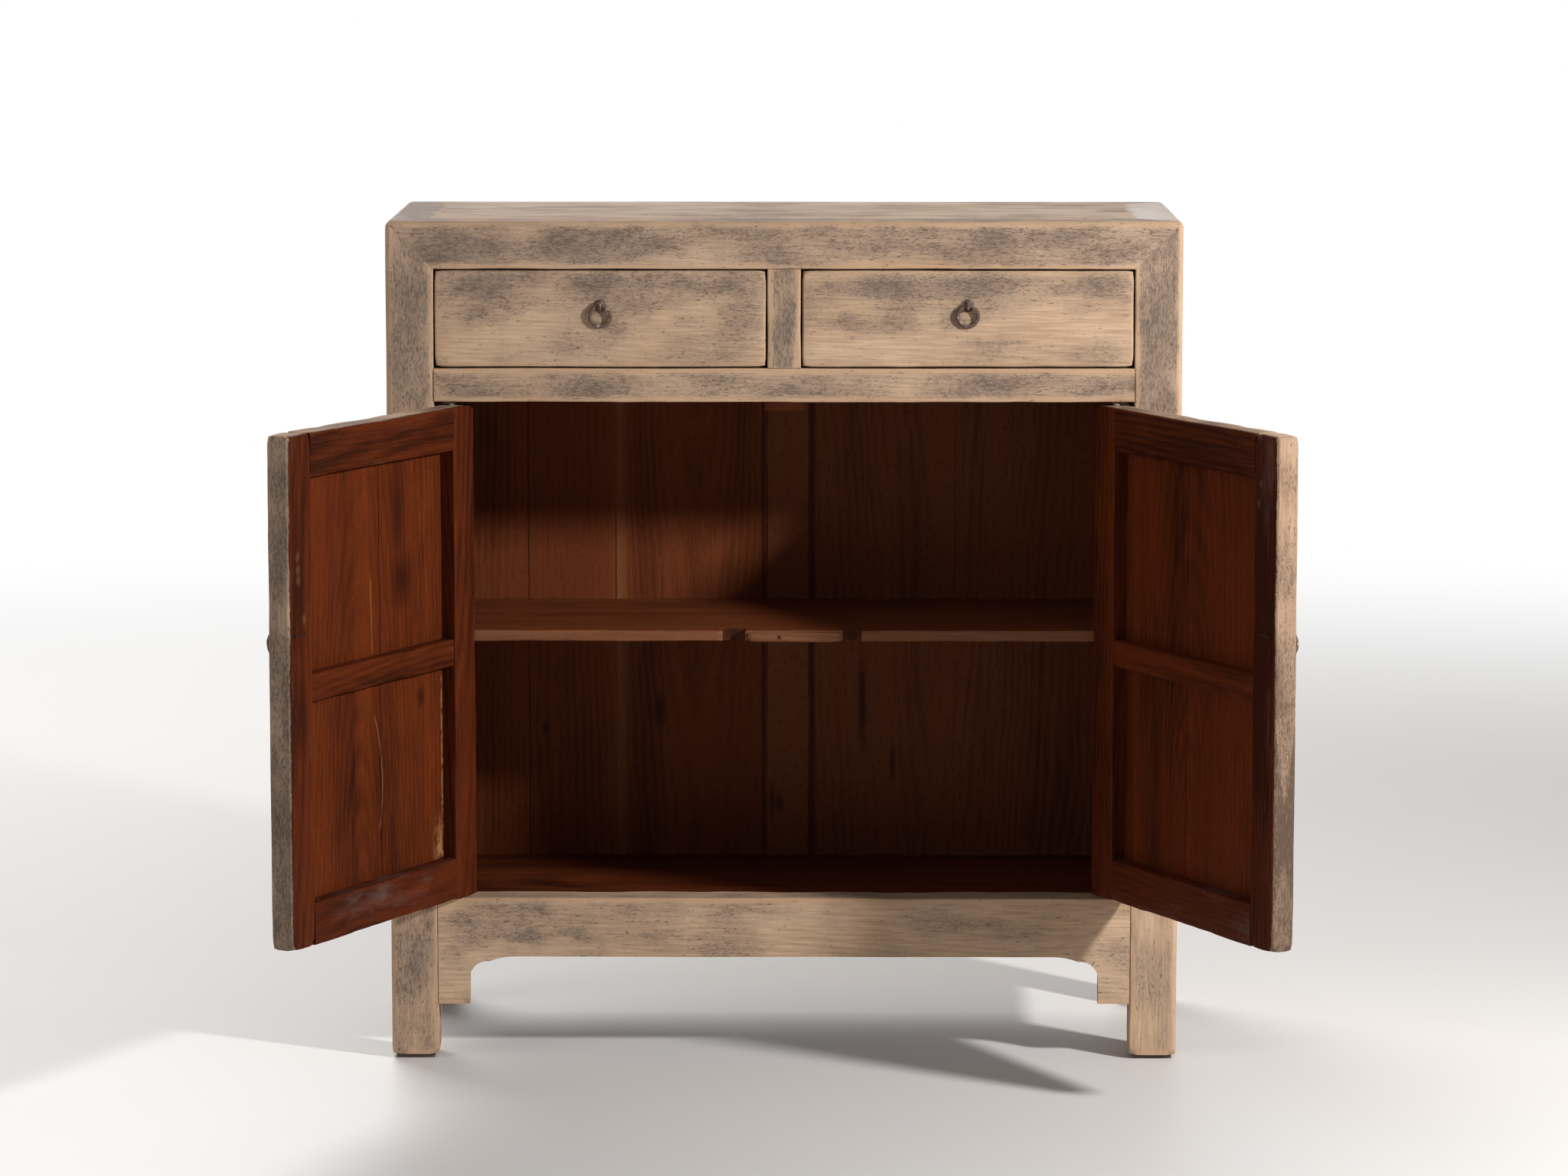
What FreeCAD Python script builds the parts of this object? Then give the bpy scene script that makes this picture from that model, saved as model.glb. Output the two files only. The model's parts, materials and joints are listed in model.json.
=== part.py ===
import FreeCAD, Part
import os
import re
import Sketcher

# A low two-door cabinet with two drawers, built with mortises, tenons, grooves and mitres.
#
# X runs across the front, Y from the front to the back and Z up. Lengths are in millimetres.
# The origin lies on the floor, under the middle of the space that the cabinet takes with its
# doors standing open. The left half is modelled, and the right half mirrors it.

SIZES = (
    ("width", 950, "across the outside of the posts"),
    ("depth", 376, "from the front of the posts to the back"),
    ("height", 1015, "from the floor to the top"),
    ("post", 57, "side of a post, and of each member of the top frame"),
    ("foot_pad", 46, "side of the pad under a post"),
    ("foot_pad_height", 5, "thickness of the pad"),
    ("corner_round", 7, "radius worn on the outer edges of the frame"),
    ("arris", 1.5, "radius on the other edges that show"),
    ("bottom_rail_top", 197.5, "height of the sill under the doors"),
    ("drawer_opening_height", 118.5, "from the drawer rail to the top frame"),
    ("drawer_rail_height", 40.5, "height of the rail between doors and drawers"),
    ("rail_depth", 45, "front to back size of the front rails, and thickness of the others"),
    ("divider_width", 40, "upright between the drawers"),
    ("tenon_thickness", 12, "thickness of a tenon in the frame"),
    ("tenon_length", 35, "tenons of the front and back rails"),
    ("stub_length", 14, "tenons of the side rails, the divider and the back stile"),
    ("shoulder", 6, "shoulder above and below a tenon"),
    ("joint_clearance", 0.2, "room round a tenon or a tongue"),
    ("panel_thickness", 12, "side and back panels, and the top and floor boards"),
    ("panel_inset", 11, "from the inner face of a post to a panel"),
    ("tongue_thickness", 6, "tongue round a panel"),
    ("tongue_depth", 8, "how far a tongue enters its groove"),
    ("board_gap", 0.4, "gap between two boards"),
    ("seam_width", 1.2, "groove along the glued joint of a panel"),
    ("seam_depth", 1, "depth of that groove"),
    ("apron_thickness", 20, "apron under the sill"),
    ("apron_rail_height", 40, "full depth part of the bottom front rail"),
    ("apron_height", 72, "from the sill to the flat of the apron"),
    ("spandrel_height", 130.5, "from the sill to the foot of a spandrel"),
    ("spandrel_width", 38, "from the post to the upright edge of a spandrel"),
    ("spandrel_edge", 33, "length of that upright edge"),
    ("cusp_reach", 62.5, "from the post to the cusp"),
    ("cusp_drop", 5.7, "from the flat of the apron down to the cusp"),
    ("curve_reach", 92, "from the post to the start of the flat"),
    ("low_rail_height", 40, "side and back rails under the floor boards"),
    ("floor_drop", 5.5, "from the sill down to the floor boards"),
    ("back_stile_width", 54, "upright in the middle of the back"),
    ("back_stile_shift", 3, "how far it stands right of the middle"),
    ("back_stile_proud", 2, "how far it stands in front of the panels"),
    ("back_stile_thickness", 26, "front to back size of that upright"),
    ("back_seam", 213, "from the middle to the joint in a back panel"),
    ("side_seam", 128, "from the front post to the joint in a side panel"),
    ("top_batten_width", 30, "batten under the top boards"),
    ("top_batten_height", 24, "height of that batten"),
    ("top_batten_place", 150, "from the middle to a batten"),
    ("dovetail_depth", 3, "how far a batten's dovetail enters the boards"),
    ("dovetail_flare", 2, "how much wider its head is on each side"),
    ("shelf_lift", 13.75, "from the middle of the door opening up to the middle of the shelf"),
    ("shelf_thickness", 14, "thickness of the shelf"),
    ("shelf_front", 40, "from the front of the posts to the shelf"),
    ("notch_depth", 12, "notches in the front edge of the shelf"),
    ("left_notch_outer", 74.5, "outer edge of the left notch"),
    ("left_notch_inner", 47.5, "inner edge of the left notch"),
    ("right_notch_inner", 70.3, "inner edge of the right notch"),
    ("right_notch_outer", 93.6, "outer edge of the right notch"),
    ("stop_height", 12, "door stop nailed to the edge of the shelf"),
    ("stop_proud", 7, "how far the stop stands in front of the shelf"),
    ("stop_lowered", 2, "from the top of the shelf to the top of the stop"),
    ("bearer_width", 20, "bearer under each end of the shelf"),
    ("bearer_height", 22, "height of a bearer"),
    ("bearer_tenon", 8, "thickness of a bearer's or a runner's tenon"),
    ("bearer_tenon_length", 10, "length of a bearer's or a runner's tenon"),
    ("bearer_tenon_inset", 1, "from the inner face of the post to that tenon"),
    ("fit_gap", 0.3, "gap where a board or a drawer passes another piece"),
    ("runner_height", 22, "height of the runner under a drawer"),
    ("runner_ledge", 2, "how far a runner reaches past the drawer side"),
    ("guide_height", 20, "guide beside a drawer, above its lower edge"),
    ("centre_runner_width", 48, "web of the runner between the drawers"),
    ("centre_runner_drop", 8, "how far it hangs below the drawer rail"),
    ("centre_tenon_width", 20, "width of its tenons"),
    ("drawer_reveal", 1.75, "gap round a drawer front"),
    ("drawer_back_room", 28, "from the back of a drawer to the back stile"),
    ("drawer_front_thickness", 20, "thickness of a drawer front"),
    ("drawer_side_thickness", 10, "thickness of a drawer side and back"),
    ("drawer_side_lowered", 17, "from the top of a drawer front to the top of its sides"),
    ("drawer_bottom_thickness", 6, "thickness of a drawer bottom"),
    ("drawer_bottom_rise", 6, "from the lower edge of a side to the bottom"),
    ("drawer_groove", 5, "depth of the grooves in a drawer"),
    ("drawer_round", 2.2, "radius worn on the edges of a drawer front"),
    ("tail_length", 12, "length of a dovetail at the drawer front"),
    ("door_thickness", 30, "thickness of the door frame"),
    ("door_angle", 117, "how far each door stands open"),
    ("pivot_inset", 21, "from the post to the pivot"),
    ("pivot_depth", 11, "from the front of the posts to the pivot"),
    ("pivot_radius", 4.3, "radius of a pivot pin"),
    ("pivot_length", 12, "how far a pin enters its socket"),
    ("pivot_clearance", 0.1, "room round a pin"),
    ("door_top_gap", 4.5, "gap above a door"),
    ("door_low_gap", 3, "gap under a door"),
    ("hinge_gap", 1.5, "gap between a door and its post"),
    ("meeting_gap", 2, "gap between the two doors"),
    ("hinge_stile_width", 47.5, "stile on the pivot side"),
    ("lock_stile_width", 48, "stile on the free side"),
    ("door_top_rail_height", 51.5, "top rail of a door"),
    ("door_low_rail_height", 49.5, "bottom rail of a door"),
    ("door_panel_thickness", 11, "panel of a door"),
    ("door_tenon_thickness", 9, "tenons of the door rails"),
    ("door_tenon_length", 30, "length of those tenons"),
    ("door_tenon_back", 5, "from the inner face of the door to its tenons"),
    ("door_seam", 142, "from the hinge stile to the joint in the panel"),
    ("hinge_round", 7, "radius of the edge that turns past the post"),
    ("free_round", 4, "radius worn on the free edge"),
    ("batten_height", 32, "batten across the door panel"),
    ("batten_lift", 3.5, "from the middle of the panel up to the middle of the batten"),
    ("batten_lowered", 2, "from the inner face of the door to the batten"),
    ("batten_tenon_length", 12, "tenons of that batten"),
    ("ring_radius", 12.3, "to the middle of the wire of a pull ring"),
    ("ring_wire", 2.4, "radius of that wire"),
    ("eye_wire", 1.3, "radius of the wire of the eye"),
    ("eye_room", 0.5, "room between the ring and the eye"),
    ("ring_rest", 0.4, "gap between a ring that hangs down and the wood"),
    ("eye_standoff", 5.6, "from the wood to the middle of the eye"),
    ("shank_radius", 1.9, "shank of the eye, through the wood"),
    ("plate_radius", 7.5, "round plate under the eye"),
    ("plate_thickness", 1, "thickness of that plate"),
    ("leg_length", 12, "each leg of the shank, bent flat behind the wood"),
    ("leg_width", 3, "width of a leg"),
    ("leg_thickness", 1.2, "thickness of a leg"),
    ("drawer_pull_lift", 15.75, "from the middle of a drawer front up to its eye"),
    ("door_pull_lift", 67.5, "from the middle of a door up to its eye"),
    ("door_pull_inset", 21, "from the free edge to a door's eye"),
    ("overrun", 2, "how far a cutting shape reaches past what it cuts"),
)

PLACES = (
    ("outer_x", "width / 2"),
    ("inner_x", "width / 2 - post"),
    ("back_face", "depth - post"),
    ("top_face", "height - post"),
    ("drawer_floor", "top_face - drawer_opening_height"),
    ("door_head", "drawer_floor - drawer_rail_height"),
    ("floor_top", "bottom_rail_top - floor_drop"),
    ("floor_under", "floor_top - panel_thickness"),
    ("low_rail_bottom", "floor_under - low_rail_height"),
    ("apron_low", "bottom_rail_top - apron_height"),
    ("spandrel_low", "bottom_rail_top - spandrel_height"),
    ("apron_rail_low", "bottom_rail_top - apron_rail_height"),
    ("spandrel_chord_x", "cusp_reach - spandrel_width"),
    ("spandrel_chord_z", "spandrel_height - spandrel_edge - apron_height - cusp_drop"),
    ("spandrel_chord", "sqrt(spandrel_chord_x ^ 2 + spandrel_chord_z ^ 2)"),
    ("cusp_chord", "sqrt((curve_reach - cusp_reach) ^ 2 + cusp_drop ^ 2)"),
    ("side_panel_x", "inner_x + panel_inset"),
    ("back_panel_y", "back_face + panel_inset"),
    ("tongue_inset", "(panel_thickness - tongue_thickness) / 2"),
    ("side_tongue_x", "side_panel_x + tongue_inset"),
    ("back_tongue_y", "back_panel_y + tongue_inset"),
    ("stile_face_y", "back_panel_y - back_stile_proud"),
    ("stile_left", "back_stile_shift - back_stile_width / 2"),
    ("stile_right", "back_stile_shift + back_stile_width / 2"),
    ("top_board_low", "height - panel_thickness"),
    ("shelf_low", "(bottom_rail_top + door_head - shelf_thickness) / 2 + shelf_lift"),
    ("shelf_top", "shelf_low + shelf_thickness"),
    ("bearer_inner_x", "side_panel_x - bearer_width"),
    ("drawer_outer_x", "inner_x - drawer_reveal"),
    ("drawer_inner_x", "divider_width / 2 + drawer_reveal"),
    ("drawer_low", "drawer_floor + drawer_reveal"),
    ("drawer_high", "top_face - drawer_reveal"),
    ("side_high", "drawer_high - drawer_side_lowered"),
    ("drawer_length", "stile_face_y - drawer_back_room"),
    ("bottom_low", "drawer_low + drawer_bottom_rise"),
    ("bottom_high", "bottom_low + drawer_bottom_thickness"),
    ("runner_top", "drawer_low - fit_gap"),
    ("runner_low", "runner_top - runner_height"),
    ("guide_top", "drawer_low + guide_height"),
    ("drawer_middle", "(drawer_outer_x + drawer_inner_x) / 2"),
    ("drawer_pull_height", "(drawer_low + drawer_high) / 2 + drawer_pull_lift"),
    ("pivot_x", "inner_x - pivot_inset"),
    ("door_low", "bottom_rail_top + door_low_gap"),
    ("door_high", "door_head - door_top_gap"),
    ("hinge_edge", "hinge_gap - pivot_inset"),
    ("free_edge", "pivot_x - meeting_gap / 2"),
    ("hinge_stile_in", "hinge_edge + hinge_stile_width"),
    ("lock_stile_in", "free_edge - lock_stile_width"),
    ("face_out", "-pivot_depth"),
    ("face_in", "door_thickness - pivot_depth"),
    ("door_panel_low", "door_low + door_low_rail_height"),
    ("door_panel_high", "door_high - door_top_rail_height"),
    ("door_panel_in", "face_out + door_panel_thickness"),
    ("door_tenon_in", "face_in - door_tenon_back"),
    ("door_tenon_out", "door_tenon_in - door_tenon_thickness"),
    ("batten_low", "(door_panel_low + door_panel_high - batten_height) / 2 + batten_lift"),
    ("batten_high", "batten_low + batten_height"),
    ("door_pull_x", "free_edge - door_pull_inset"),
    ("door_pull_height", "(door_low + door_high) / 2 + door_pull_lift"),
    ("eye_radius", "ring_wire + eye_room + eye_wire"),
    ("ring_drop_y", "(eye_standoff - ring_wire - ring_rest) / 2"),
    ("ring_drop_z", "sqrt(ring_radius ^ 2 - ring_drop_y ^ 2)"),
    ("ring_turn", "acos(-ring_drop_y / ring_radius)"),
    ("round_middle_s", "free_edge - free_round"),
    ("round_middle_t", "face_in - free_round"),
    ("door_reach", "round_middle_s * sin(door_angle) - round_middle_t * cos(door_angle)"
                   " + free_round - pivot_depth"),
    ("front_y", "(door_reach - depth) / 2"),
)

FLOOR_BOARD_COUNT = 3
TAIL_COUNT = 3
FUNCTIONS = ("sin", "cos", "acos", "sqrt")
NORMAL_SIGN = {"XY": 1, "XZ": -1, "YZ": 1}
SAME_PLACE = 1e-4

POST_TENON_SHARES = ((0.2, 0.45), (0.5, 0.8), (0, 0.55))
RAIL_TENON_SHARES = ((0.2, 0.45), (0.1, 0.8), (0.65, 0.9))
APRON_RADIUS_SHARES = {"spandrel_chord": 0.7, "cusp_chord": 2.7}
TAIL_SHARES = {"root": 0.42, "tip": 0.62}

DOC = FreeCAD.newDocument("cabinet")
CELLS = {name: "size" for name, *_ in SIZES} | {name: "place" for name, *_ in PLACES}


def linked(formula):
    """Point each name in a formula at its cell."""
    def cell(match):
        word = match.group()
        return word if word in FUNCTIONS else f"{CELLS[word]}.{word}"
    return re.sub(r"[a-z_]+", cell, formula)


def fill_sheet(title, rows):
    """Write a sheet of named cells, each a plain number with its note, or a formula."""
    sheet = DOC.addObject("Spreadsheet::Sheet", title)
    for number, (name, content, *notes) in enumerate(rows, start=1):
        sheet.set(f"A{number}", name)
        sheet.set(f"B{number}", f"={linked(content)}" if isinstance(content, str) else str(content))
        sheet.setAlias(f"B{number}", name)
        for note in notes:
            sheet.set(f"C{number}", note)
    DOC.recompute()


def value(formula):
    """The present value of a formula."""
    return float(DOC.getObject("size").evalExpression(linked(formula)))


def bind(item, formulas):
    """Tie properties of an object to formulas."""
    for name, formula in formulas.items():
        item.setExpression(name, linked(formula))


def new_piece(name):
    """Start the body of a sub-part that stands in the cabinet's own frame."""
    body = DOC.addObject("PartDesign::Body", name)
    body.Label = name
    bind(body, {"Placement.Base.y": "front_y"})
    return body


def new_door_piece(name):
    """Start the body of a sub-part that turns about the left door's pivot."""
    body = DOC.addObject("PartDesign::Body", name)
    body.Label = name
    bind(body, {
        "Placement.Base.x": "-pivot_x",
        "Placement.Base.y": "front_y + pivot_depth",
        "Placement.Rotation.Angle": "-door_angle",
    })
    return body


def mirrored(source, name):
    """Make the right-hand twin of a left-hand sub-part."""
    twin = DOC.addObject("Part::Mirroring", name)
    twin.Label = name
    twin.Source = source
    twin.Normal = (1, 0, 0)
    return twin


def box(body, kind, spans, grow="0"):
    """Add or subtract a box given by its spans along X, Y and Z."""
    feature = body.newObject(f"PartDesign::{kind}Box", f"{body.Name}_{kind}")
    formulas = {}
    for (low, high), side, axis in zip(spans, ("Length", "Width", "Height"), "xyz"):
        formulas[side] = f"({high}) - ({low}) + 2 * ({grow})"
        formulas[f"Placement.Base.{axis}"] = f"({low}) - ({grow})"
    bind(feature, formulas)
    return feature


def add(body, *spans):
    """Add a box to a body."""
    return box(body, "Additive", spans)


def cut(body, *spans):
    """Cut a box out of a body."""
    return box(body, "Subtractive", spans)


def fit_round(body, *spans):
    """Cut the room that a tenon, a tongue or a post takes, with its clearance."""
    return box(body, "Subtractive", spans, "joint_clearance")


def cylinder(body, kind, turn, place, radius, height):
    """Add or subtract a cylinder that starts at a place and runs along its turned axis."""
    feature = body.newObject(f"PartDesign::{kind}Cylinder", f"{body.Name}_{kind}")
    feature.Placement = FreeCAD.Placement(FreeCAD.Vector(), turn)
    bind(feature, {"Radius": radius, "Height": height})
    bind(feature, {f"Placement.Base.{axis}": spot for axis, spot in zip("xyz", place)})
    return feature


def torus(body, turn, place, radius, wire):
    """Add a ring of round wire."""
    feature = body.newObject("PartDesign::AdditiveTorus", f"{body.Name}_ring")
    feature.Placement = FreeCAD.Placement(FreeCAD.Vector(), turn)
    bind(feature, {"Radius1": radius, "Radius2": wire})
    bind(feature, {f"Placement.Base.{axis}": spot for axis, spot in zip("xyz", place)})
    return feature


def origin_plane(body, plane):
    """One of a body's own three planes."""
    return next(item for item in body.Origin.OriginFeatures if item.Role == f"{plane}_Plane")


def arc_between(start, end, radius):
    """The short arc from start to end that bulges to the left of its chord."""
    chord = end - start
    half = chord.Length / 2
    sagitta = radius - (radius ** 2 - half ** 2) ** 0.5
    left = FreeCAD.Vector(-chord.y, chord.x, 0).normalize()
    return Part.Arc(start, start + chord / 2 + left * sagitta, end)


def outline_sketch(body, plane, level, outline):
    """Draw a closed outline, its corners and radii bound to formulas.

    A corner is a pair of formulas, with the radius of the arc to the next corner as a third.
    """
    sketch = body.newObject("Sketcher::SketchObject", f"{body.Name}_outline")
    sketch.AttachmentSupport = (origin_plane(body, plane), [""])
    sketch.MapMode = "FlatFace"
    bind(sketch, {"AttachmentOffset.Base.z": f"{NORMAL_SIGN[plane]} * ({level})"})
    corners = [FreeCAD.Vector(value(corner[0]), value(corner[1]), 0) for corner in outline]
    starts, ends = [], []
    for index, corner in enumerate(outline):
        here, there = corners[index], corners[(index + 1) % len(corners)]
        curved = len(corner) > 2
        edge = arc_between(here, there, value(corner[2])) if curved else Part.LineSegment(here, there)
        sketch.addGeometry(edge, False)
        forward = sketch.getPoint(index, 1).isEqual(here, SAME_PLACE)
        starts.append(1 if forward else 2)
        ends.append(2 if forward else 1)
    for index in range(len(outline)):
        following = (index + 1) % len(outline)
        sketch.addConstraint(
            Sketcher.Constraint("Coincident", index, ends[index], following, starts[following]))
    for index, corner in enumerate(outline):
        for kind, formula, reading in zip(("DistanceX", "DistanceY"), corner, corners[index]):
            number = sketch.addConstraint(
                Sketcher.Constraint(kind, -1, 1, index, starts[index], reading))
            bind(sketch, {f"Constraints[{number}]": formula})
        if len(corner) > 2:
            number = sketch.addConstraint(Sketcher.Constraint("Radius", index, value(corner[2])))
            bind(sketch, {f"Constraints[{number}]": corner[2]})
    return sketch


def prism(body, kind, plane, outline, span):
    """Pad or pocket an outline over a span that runs square to its plane."""
    low, high = span
    before = 0
    if body.Tip:
        DOC.recompute()
        before = body.Shape.Volume
    sketch = outline_sketch(body, plane, low, outline)
    feature = body.newObject(f"PartDesign::{kind}", f"{body.Name}_{kind}")
    feature.Profile = sketch
    bind(feature, {"Length": f"({high}) - ({low})"})
    feature.Reversed = (NORMAL_SIGN[plane] < 0) == (kind == "Pad")
    DOC.recompute()
    if abs(body.Shape.Volume - before) < SAME_PLACE:
        raise RuntimeError(f"{feature.Name} changes nothing")
    return feature


def soften(body, radius, *lines):
    """Round the edges that lie on the given lines, each a dict of axis to formula."""
    DOC.recompute()
    wanted = [{axis: value(formula) for axis, formula in line.items()} for line in lines]
    chosen = []
    for number, edge in enumerate(body.Shape.Edges, start=1):
        points = [body.Placement.inverse().multVec(vertex.Point) for vertex in edge.Vertexes]
        for line in wanted:
            if all(abs(getattr(point, axis) - spot) < SAME_PLACE
                   for point in points for axis, spot in line.items()):
                chosen.append(f"Edge{number}")
                break
    if not chosen:
        raise RuntimeError(f"{body.Name} has no edge to round")
    feature = body.newObject("PartDesign::Fillet", f"{body.Name}_round")
    feature.Base = (feature.BaseFeature, chosen)
    bind(feature, {"Radius": radius})
    return feature


def far(span):
    """A span along Y, turned end for end to the back of the cabinet."""
    low, high = span
    return (f"depth - ({high})", f"depth - ({low})")


def other_side(span):
    """A span along X, mirrored to the right-hand side."""
    low, high = span
    return (f"-({high})", f"-({low})")


def both_sides(spans):
    """A box on the left and its mirror image on the right."""
    x, y, z = spans
    return ((x, y, z), (other_side(x), y, z))


def corner_span(axis, shares):
    """Shares of the top corner's cube, counted from its inner corner, as a span."""
    near, away = shares
    if axis == "x":
        return (f"-inner_x - {away} * post", f"-inner_x - {near} * post")
    if axis == "y":
        return (f"post - {away} * post", f"post - {near} * post")
    return (f"top_face + {near} * post", f"top_face + {away} * post")


def corner_box(x_shares, y_shares, z_shares):
    """A box inside the left front top corner, from shares of the post."""
    return (corner_span("x", x_shares), corner_span("y", y_shares), corner_span("z", z_shares))


SHORT_SHARES, LONG_SHARES, RISE_SHARES = POST_TENON_SHARES
POST_TENON_IN_FRONT = corner_box(SHORT_SHARES, LONG_SHARES, RISE_SHARES)
POST_TENON_IN_SIDE = corner_box(LONG_SHARES, SHORT_SHARES, RISE_SHARES)
SIDE_TENON_IN_FRONT = corner_box(*RAIL_TENON_SHARES)


def at_end(spans, back):
    """A box at the front, or turned to the back."""
    x, y, z = spans
    return (x, far(y), z) if back else (x, y, z)


INNER_POINT = {"x": "-inner_x + overrun", "y": "post + overrun", "z": "top_face - overrun"}
OUTER_POINT = {"x": "-outer_x - overrun", "y": "-overrun", "z": "height + overrun"}
CUT_SPANS = {
    "x": ("-outer_x - overrun", "-inner_x + overrun"),
    "y": ("-overrun", "post + overrun"),
    "z": ("top_face - overrun", "height + overrun"),
}


def mitre(body, plane, waste, back=False, right=False):
    """Cut one face of a top corner's mitre. The waste is the third corner of the triangle."""
    first, second = plane.lower()
    square_to = next(axis for axis in "xyz" if axis not in (first, second))
    corners = [
        {first: INNER_POINT[first], second: INNER_POINT[second]},
        {first: OUTER_POINT[first], second: OUTER_POINT[second]},
        {first: waste[0][first], second: waste[1][second]},
    ]
    for corner in corners:
        if back and "y" in corner:
            corner["y"] = f"depth - ({corner['y']})"
        if right and "x" in corner:
            corner["x"] = f"-({corner['x']})"
    span = CUT_SPANS[square_to]
    if back and square_to == "y":
        span = far(span)
    if right and square_to == "x":
        span = other_side(span)
    prism(body, "Pocket", plane, [(corner[first], corner[second]) for corner in corners], span)


def mitre_post(body, back):
    """Shape the top of a post to its two mitres, with a tenon for each rail."""
    mitre(body, "XZ", (INNER_POINT, OUTER_POINT), back)
    mitre(body, "YZ", (INNER_POINT, OUTER_POINT), back)
    add(body, *at_end(POST_TENON_IN_FRONT, back))
    add(body, *at_end(POST_TENON_IN_SIDE, back))


def mitre_long_rail(body, back):
    """Shape both ends of the front or back member of the top frame."""
    for right in (False, True):
        mitre(body, "XZ", (OUTER_POINT, INNER_POINT), back, right)
        mitre(body, "XY", (OUTER_POINT, INNER_POINT), back, right)
    for slot in (POST_TENON_IN_FRONT, SIDE_TENON_IN_FRONT):
        for spans in both_sides(at_end(slot, back)):
            fit_round(body, *spans)


def mitre_side_rail(body):
    """Shape both ends of a side member of the top frame."""
    for back in (False, True):
        mitre(body, "XY", (INNER_POINT, OUTER_POINT), back)
        mitre(body, "YZ", (OUTER_POINT, INNER_POINT), back)
        add(body, *at_end(SIDE_TENON_IN_FRONT, back))
        fit_round(body, *at_end(POST_TENON_IN_SIDE, back))


POST_X = ("-outer_x", "-inner_x")
FRONT_POST_Y = ("0", "post")
BACK_POST_Y = ("back_face", "depth")
RAIL_X = ("-inner_x", "inner_x")
RAIL_TENON_X = ("-inner_x - tenon_length", "-inner_x")
FRONT_RAIL_Y = ("0", "rail_depth")
BACK_RAIL_Y = ("back_face", "back_face + rail_depth")

DRAWER_RAIL_TENON = (
    RAIL_TENON_X,
    ("(rail_depth - tenon_thickness) / 2", "(rail_depth + tenon_thickness) / 2"),
    ("door_head + shoulder", "drawer_floor - shoulder"),
)
APRON_TENON = (
    RAIL_TENON_X,
    ("(apron_thickness - tenon_thickness) / 2", "(apron_thickness + tenon_thickness) / 2"),
    ("apron_low + shoulder", "bottom_rail_top - shoulder"),
)
LOW_TENON_Z = ("low_rail_bottom + shoulder", "floor_under - tongue_depth - shoulder / 2")
BACK_RAIL_TENON = (
    RAIL_TENON_X,
    tuple(f"back_face + {edge}" for edge in DRAWER_RAIL_TENON[1]),
    LOW_TENON_Z,
)
SIDE_RAIL_TENON = (
    ("-inner_x - (rail_depth + tenon_thickness) / 2", "-inner_x - (rail_depth - tenon_thickness) / 2"),
    ("post - stub_length", "post"),
    LOW_TENON_Z,
)
BEARER_TENON_X = (
    "-inner_x - bearer_tenon_inset - bearer_tenon",
    "-inner_x - bearer_tenon_inset",
)
BEARER_TENON_Y = ("post - bearer_tenon_length", "post")
BEARER_TENON = (
    BEARER_TENON_X, BEARER_TENON_Y, ("shelf_low - bearer_height + shoulder / 2", "shelf_low - shoulder / 2"),
)
RUNNER_TENON = (
    BEARER_TENON_X, BEARER_TENON_Y, ("runner_low + shoulder / 2", "runner_top - shoulder / 2"),
)
DIVIDER_X = ("shoulder - divider_width / 2", "divider_width / 2 - shoulder")
DIVIDER_Y = DRAWER_RAIL_TENON[1]
DIVIDER_FOOT = (DIVIDER_X, DIVIDER_Y, ("drawer_floor - stub_length", "drawer_floor"))
DIVIDER_HEAD = (DIVIDER_X, DIVIDER_Y, ("top_face", "top_face + stub_length"))
CENTRE_TENON_X = ("-centre_tenon_width / 2", "centre_tenon_width / 2")
CENTRE_TENON_Z = ("door_head + shoulder", "runner_top - shoulder")
CENTRE_FRONT_TENON = (
    CENTRE_TENON_X, ("rail_depth - bearer_tenon_length", "rail_depth"), CENTRE_TENON_Z,
)
CENTRE_BACK_TENON = (
    CENTRE_TENON_X, ("stile_face_y", "stile_face_y + bearer_tenon_length"), CENTRE_TENON_Z,
)
STILE_TENON_X = ("stile_left + stub_length", "stile_right - stub_length")
STILE_TENON_Y = ("back_panel_y + tongue_inset", "back_panel_y + tongue_inset + tenon_thickness")
STILE_FOOT = (STILE_TENON_X, STILE_TENON_Y, ("floor_under - stub_length", "floor_under"))
STILE_HEAD = (STILE_TENON_X, STILE_TENON_Y, ("top_face", "top_face + stub_length"))

PANEL_TONGUE_Z = ("floor_under - tongue_depth", "top_face + tongue_depth")
SIDE_PANEL_TONGUE = (
    ("-side_tongue_x - tongue_thickness", "-side_tongue_x"),
    ("post - tongue_depth", "back_face + tongue_depth"),
    PANEL_TONGUE_Z,
)
BACK_TONGUE_Y = ("back_tongue_y", "back_tongue_y + tongue_thickness")
LEFT_BACK_TONGUE = (
    ("-inner_x - tongue_depth", "stile_left + tongue_depth"), BACK_TONGUE_Y, PANEL_TONGUE_Z,
)
RIGHT_BACK_TONGUE = (
    ("stile_right - tongue_depth", "inner_x + tongue_depth"), BACK_TONGUE_Y, PANEL_TONGUE_Z,
)
TOP_TONGUE = (
    ("-inner_x - tongue_depth", "inner_x + tongue_depth"),
    ("post - tongue_depth", "back_face + tongue_depth"),
    ("top_board_low", "top_board_low + tongue_thickness"),
)
FLOOR_TONGUE = (
    ("-inner_x + fit_gap", "inner_x - fit_gap"),
    ("rail_depth - tongue_depth", "rail_depth"),
    ("floor_under + tongue_inset", "floor_under + tongue_inset + tongue_thickness"),
)
LEFT_FRONT_POST = (POST_X, FRONT_POST_Y, ("0", "height"))
LEFT_BACK_POST = (POST_X, BACK_POST_Y, ("0", "height"))


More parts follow.
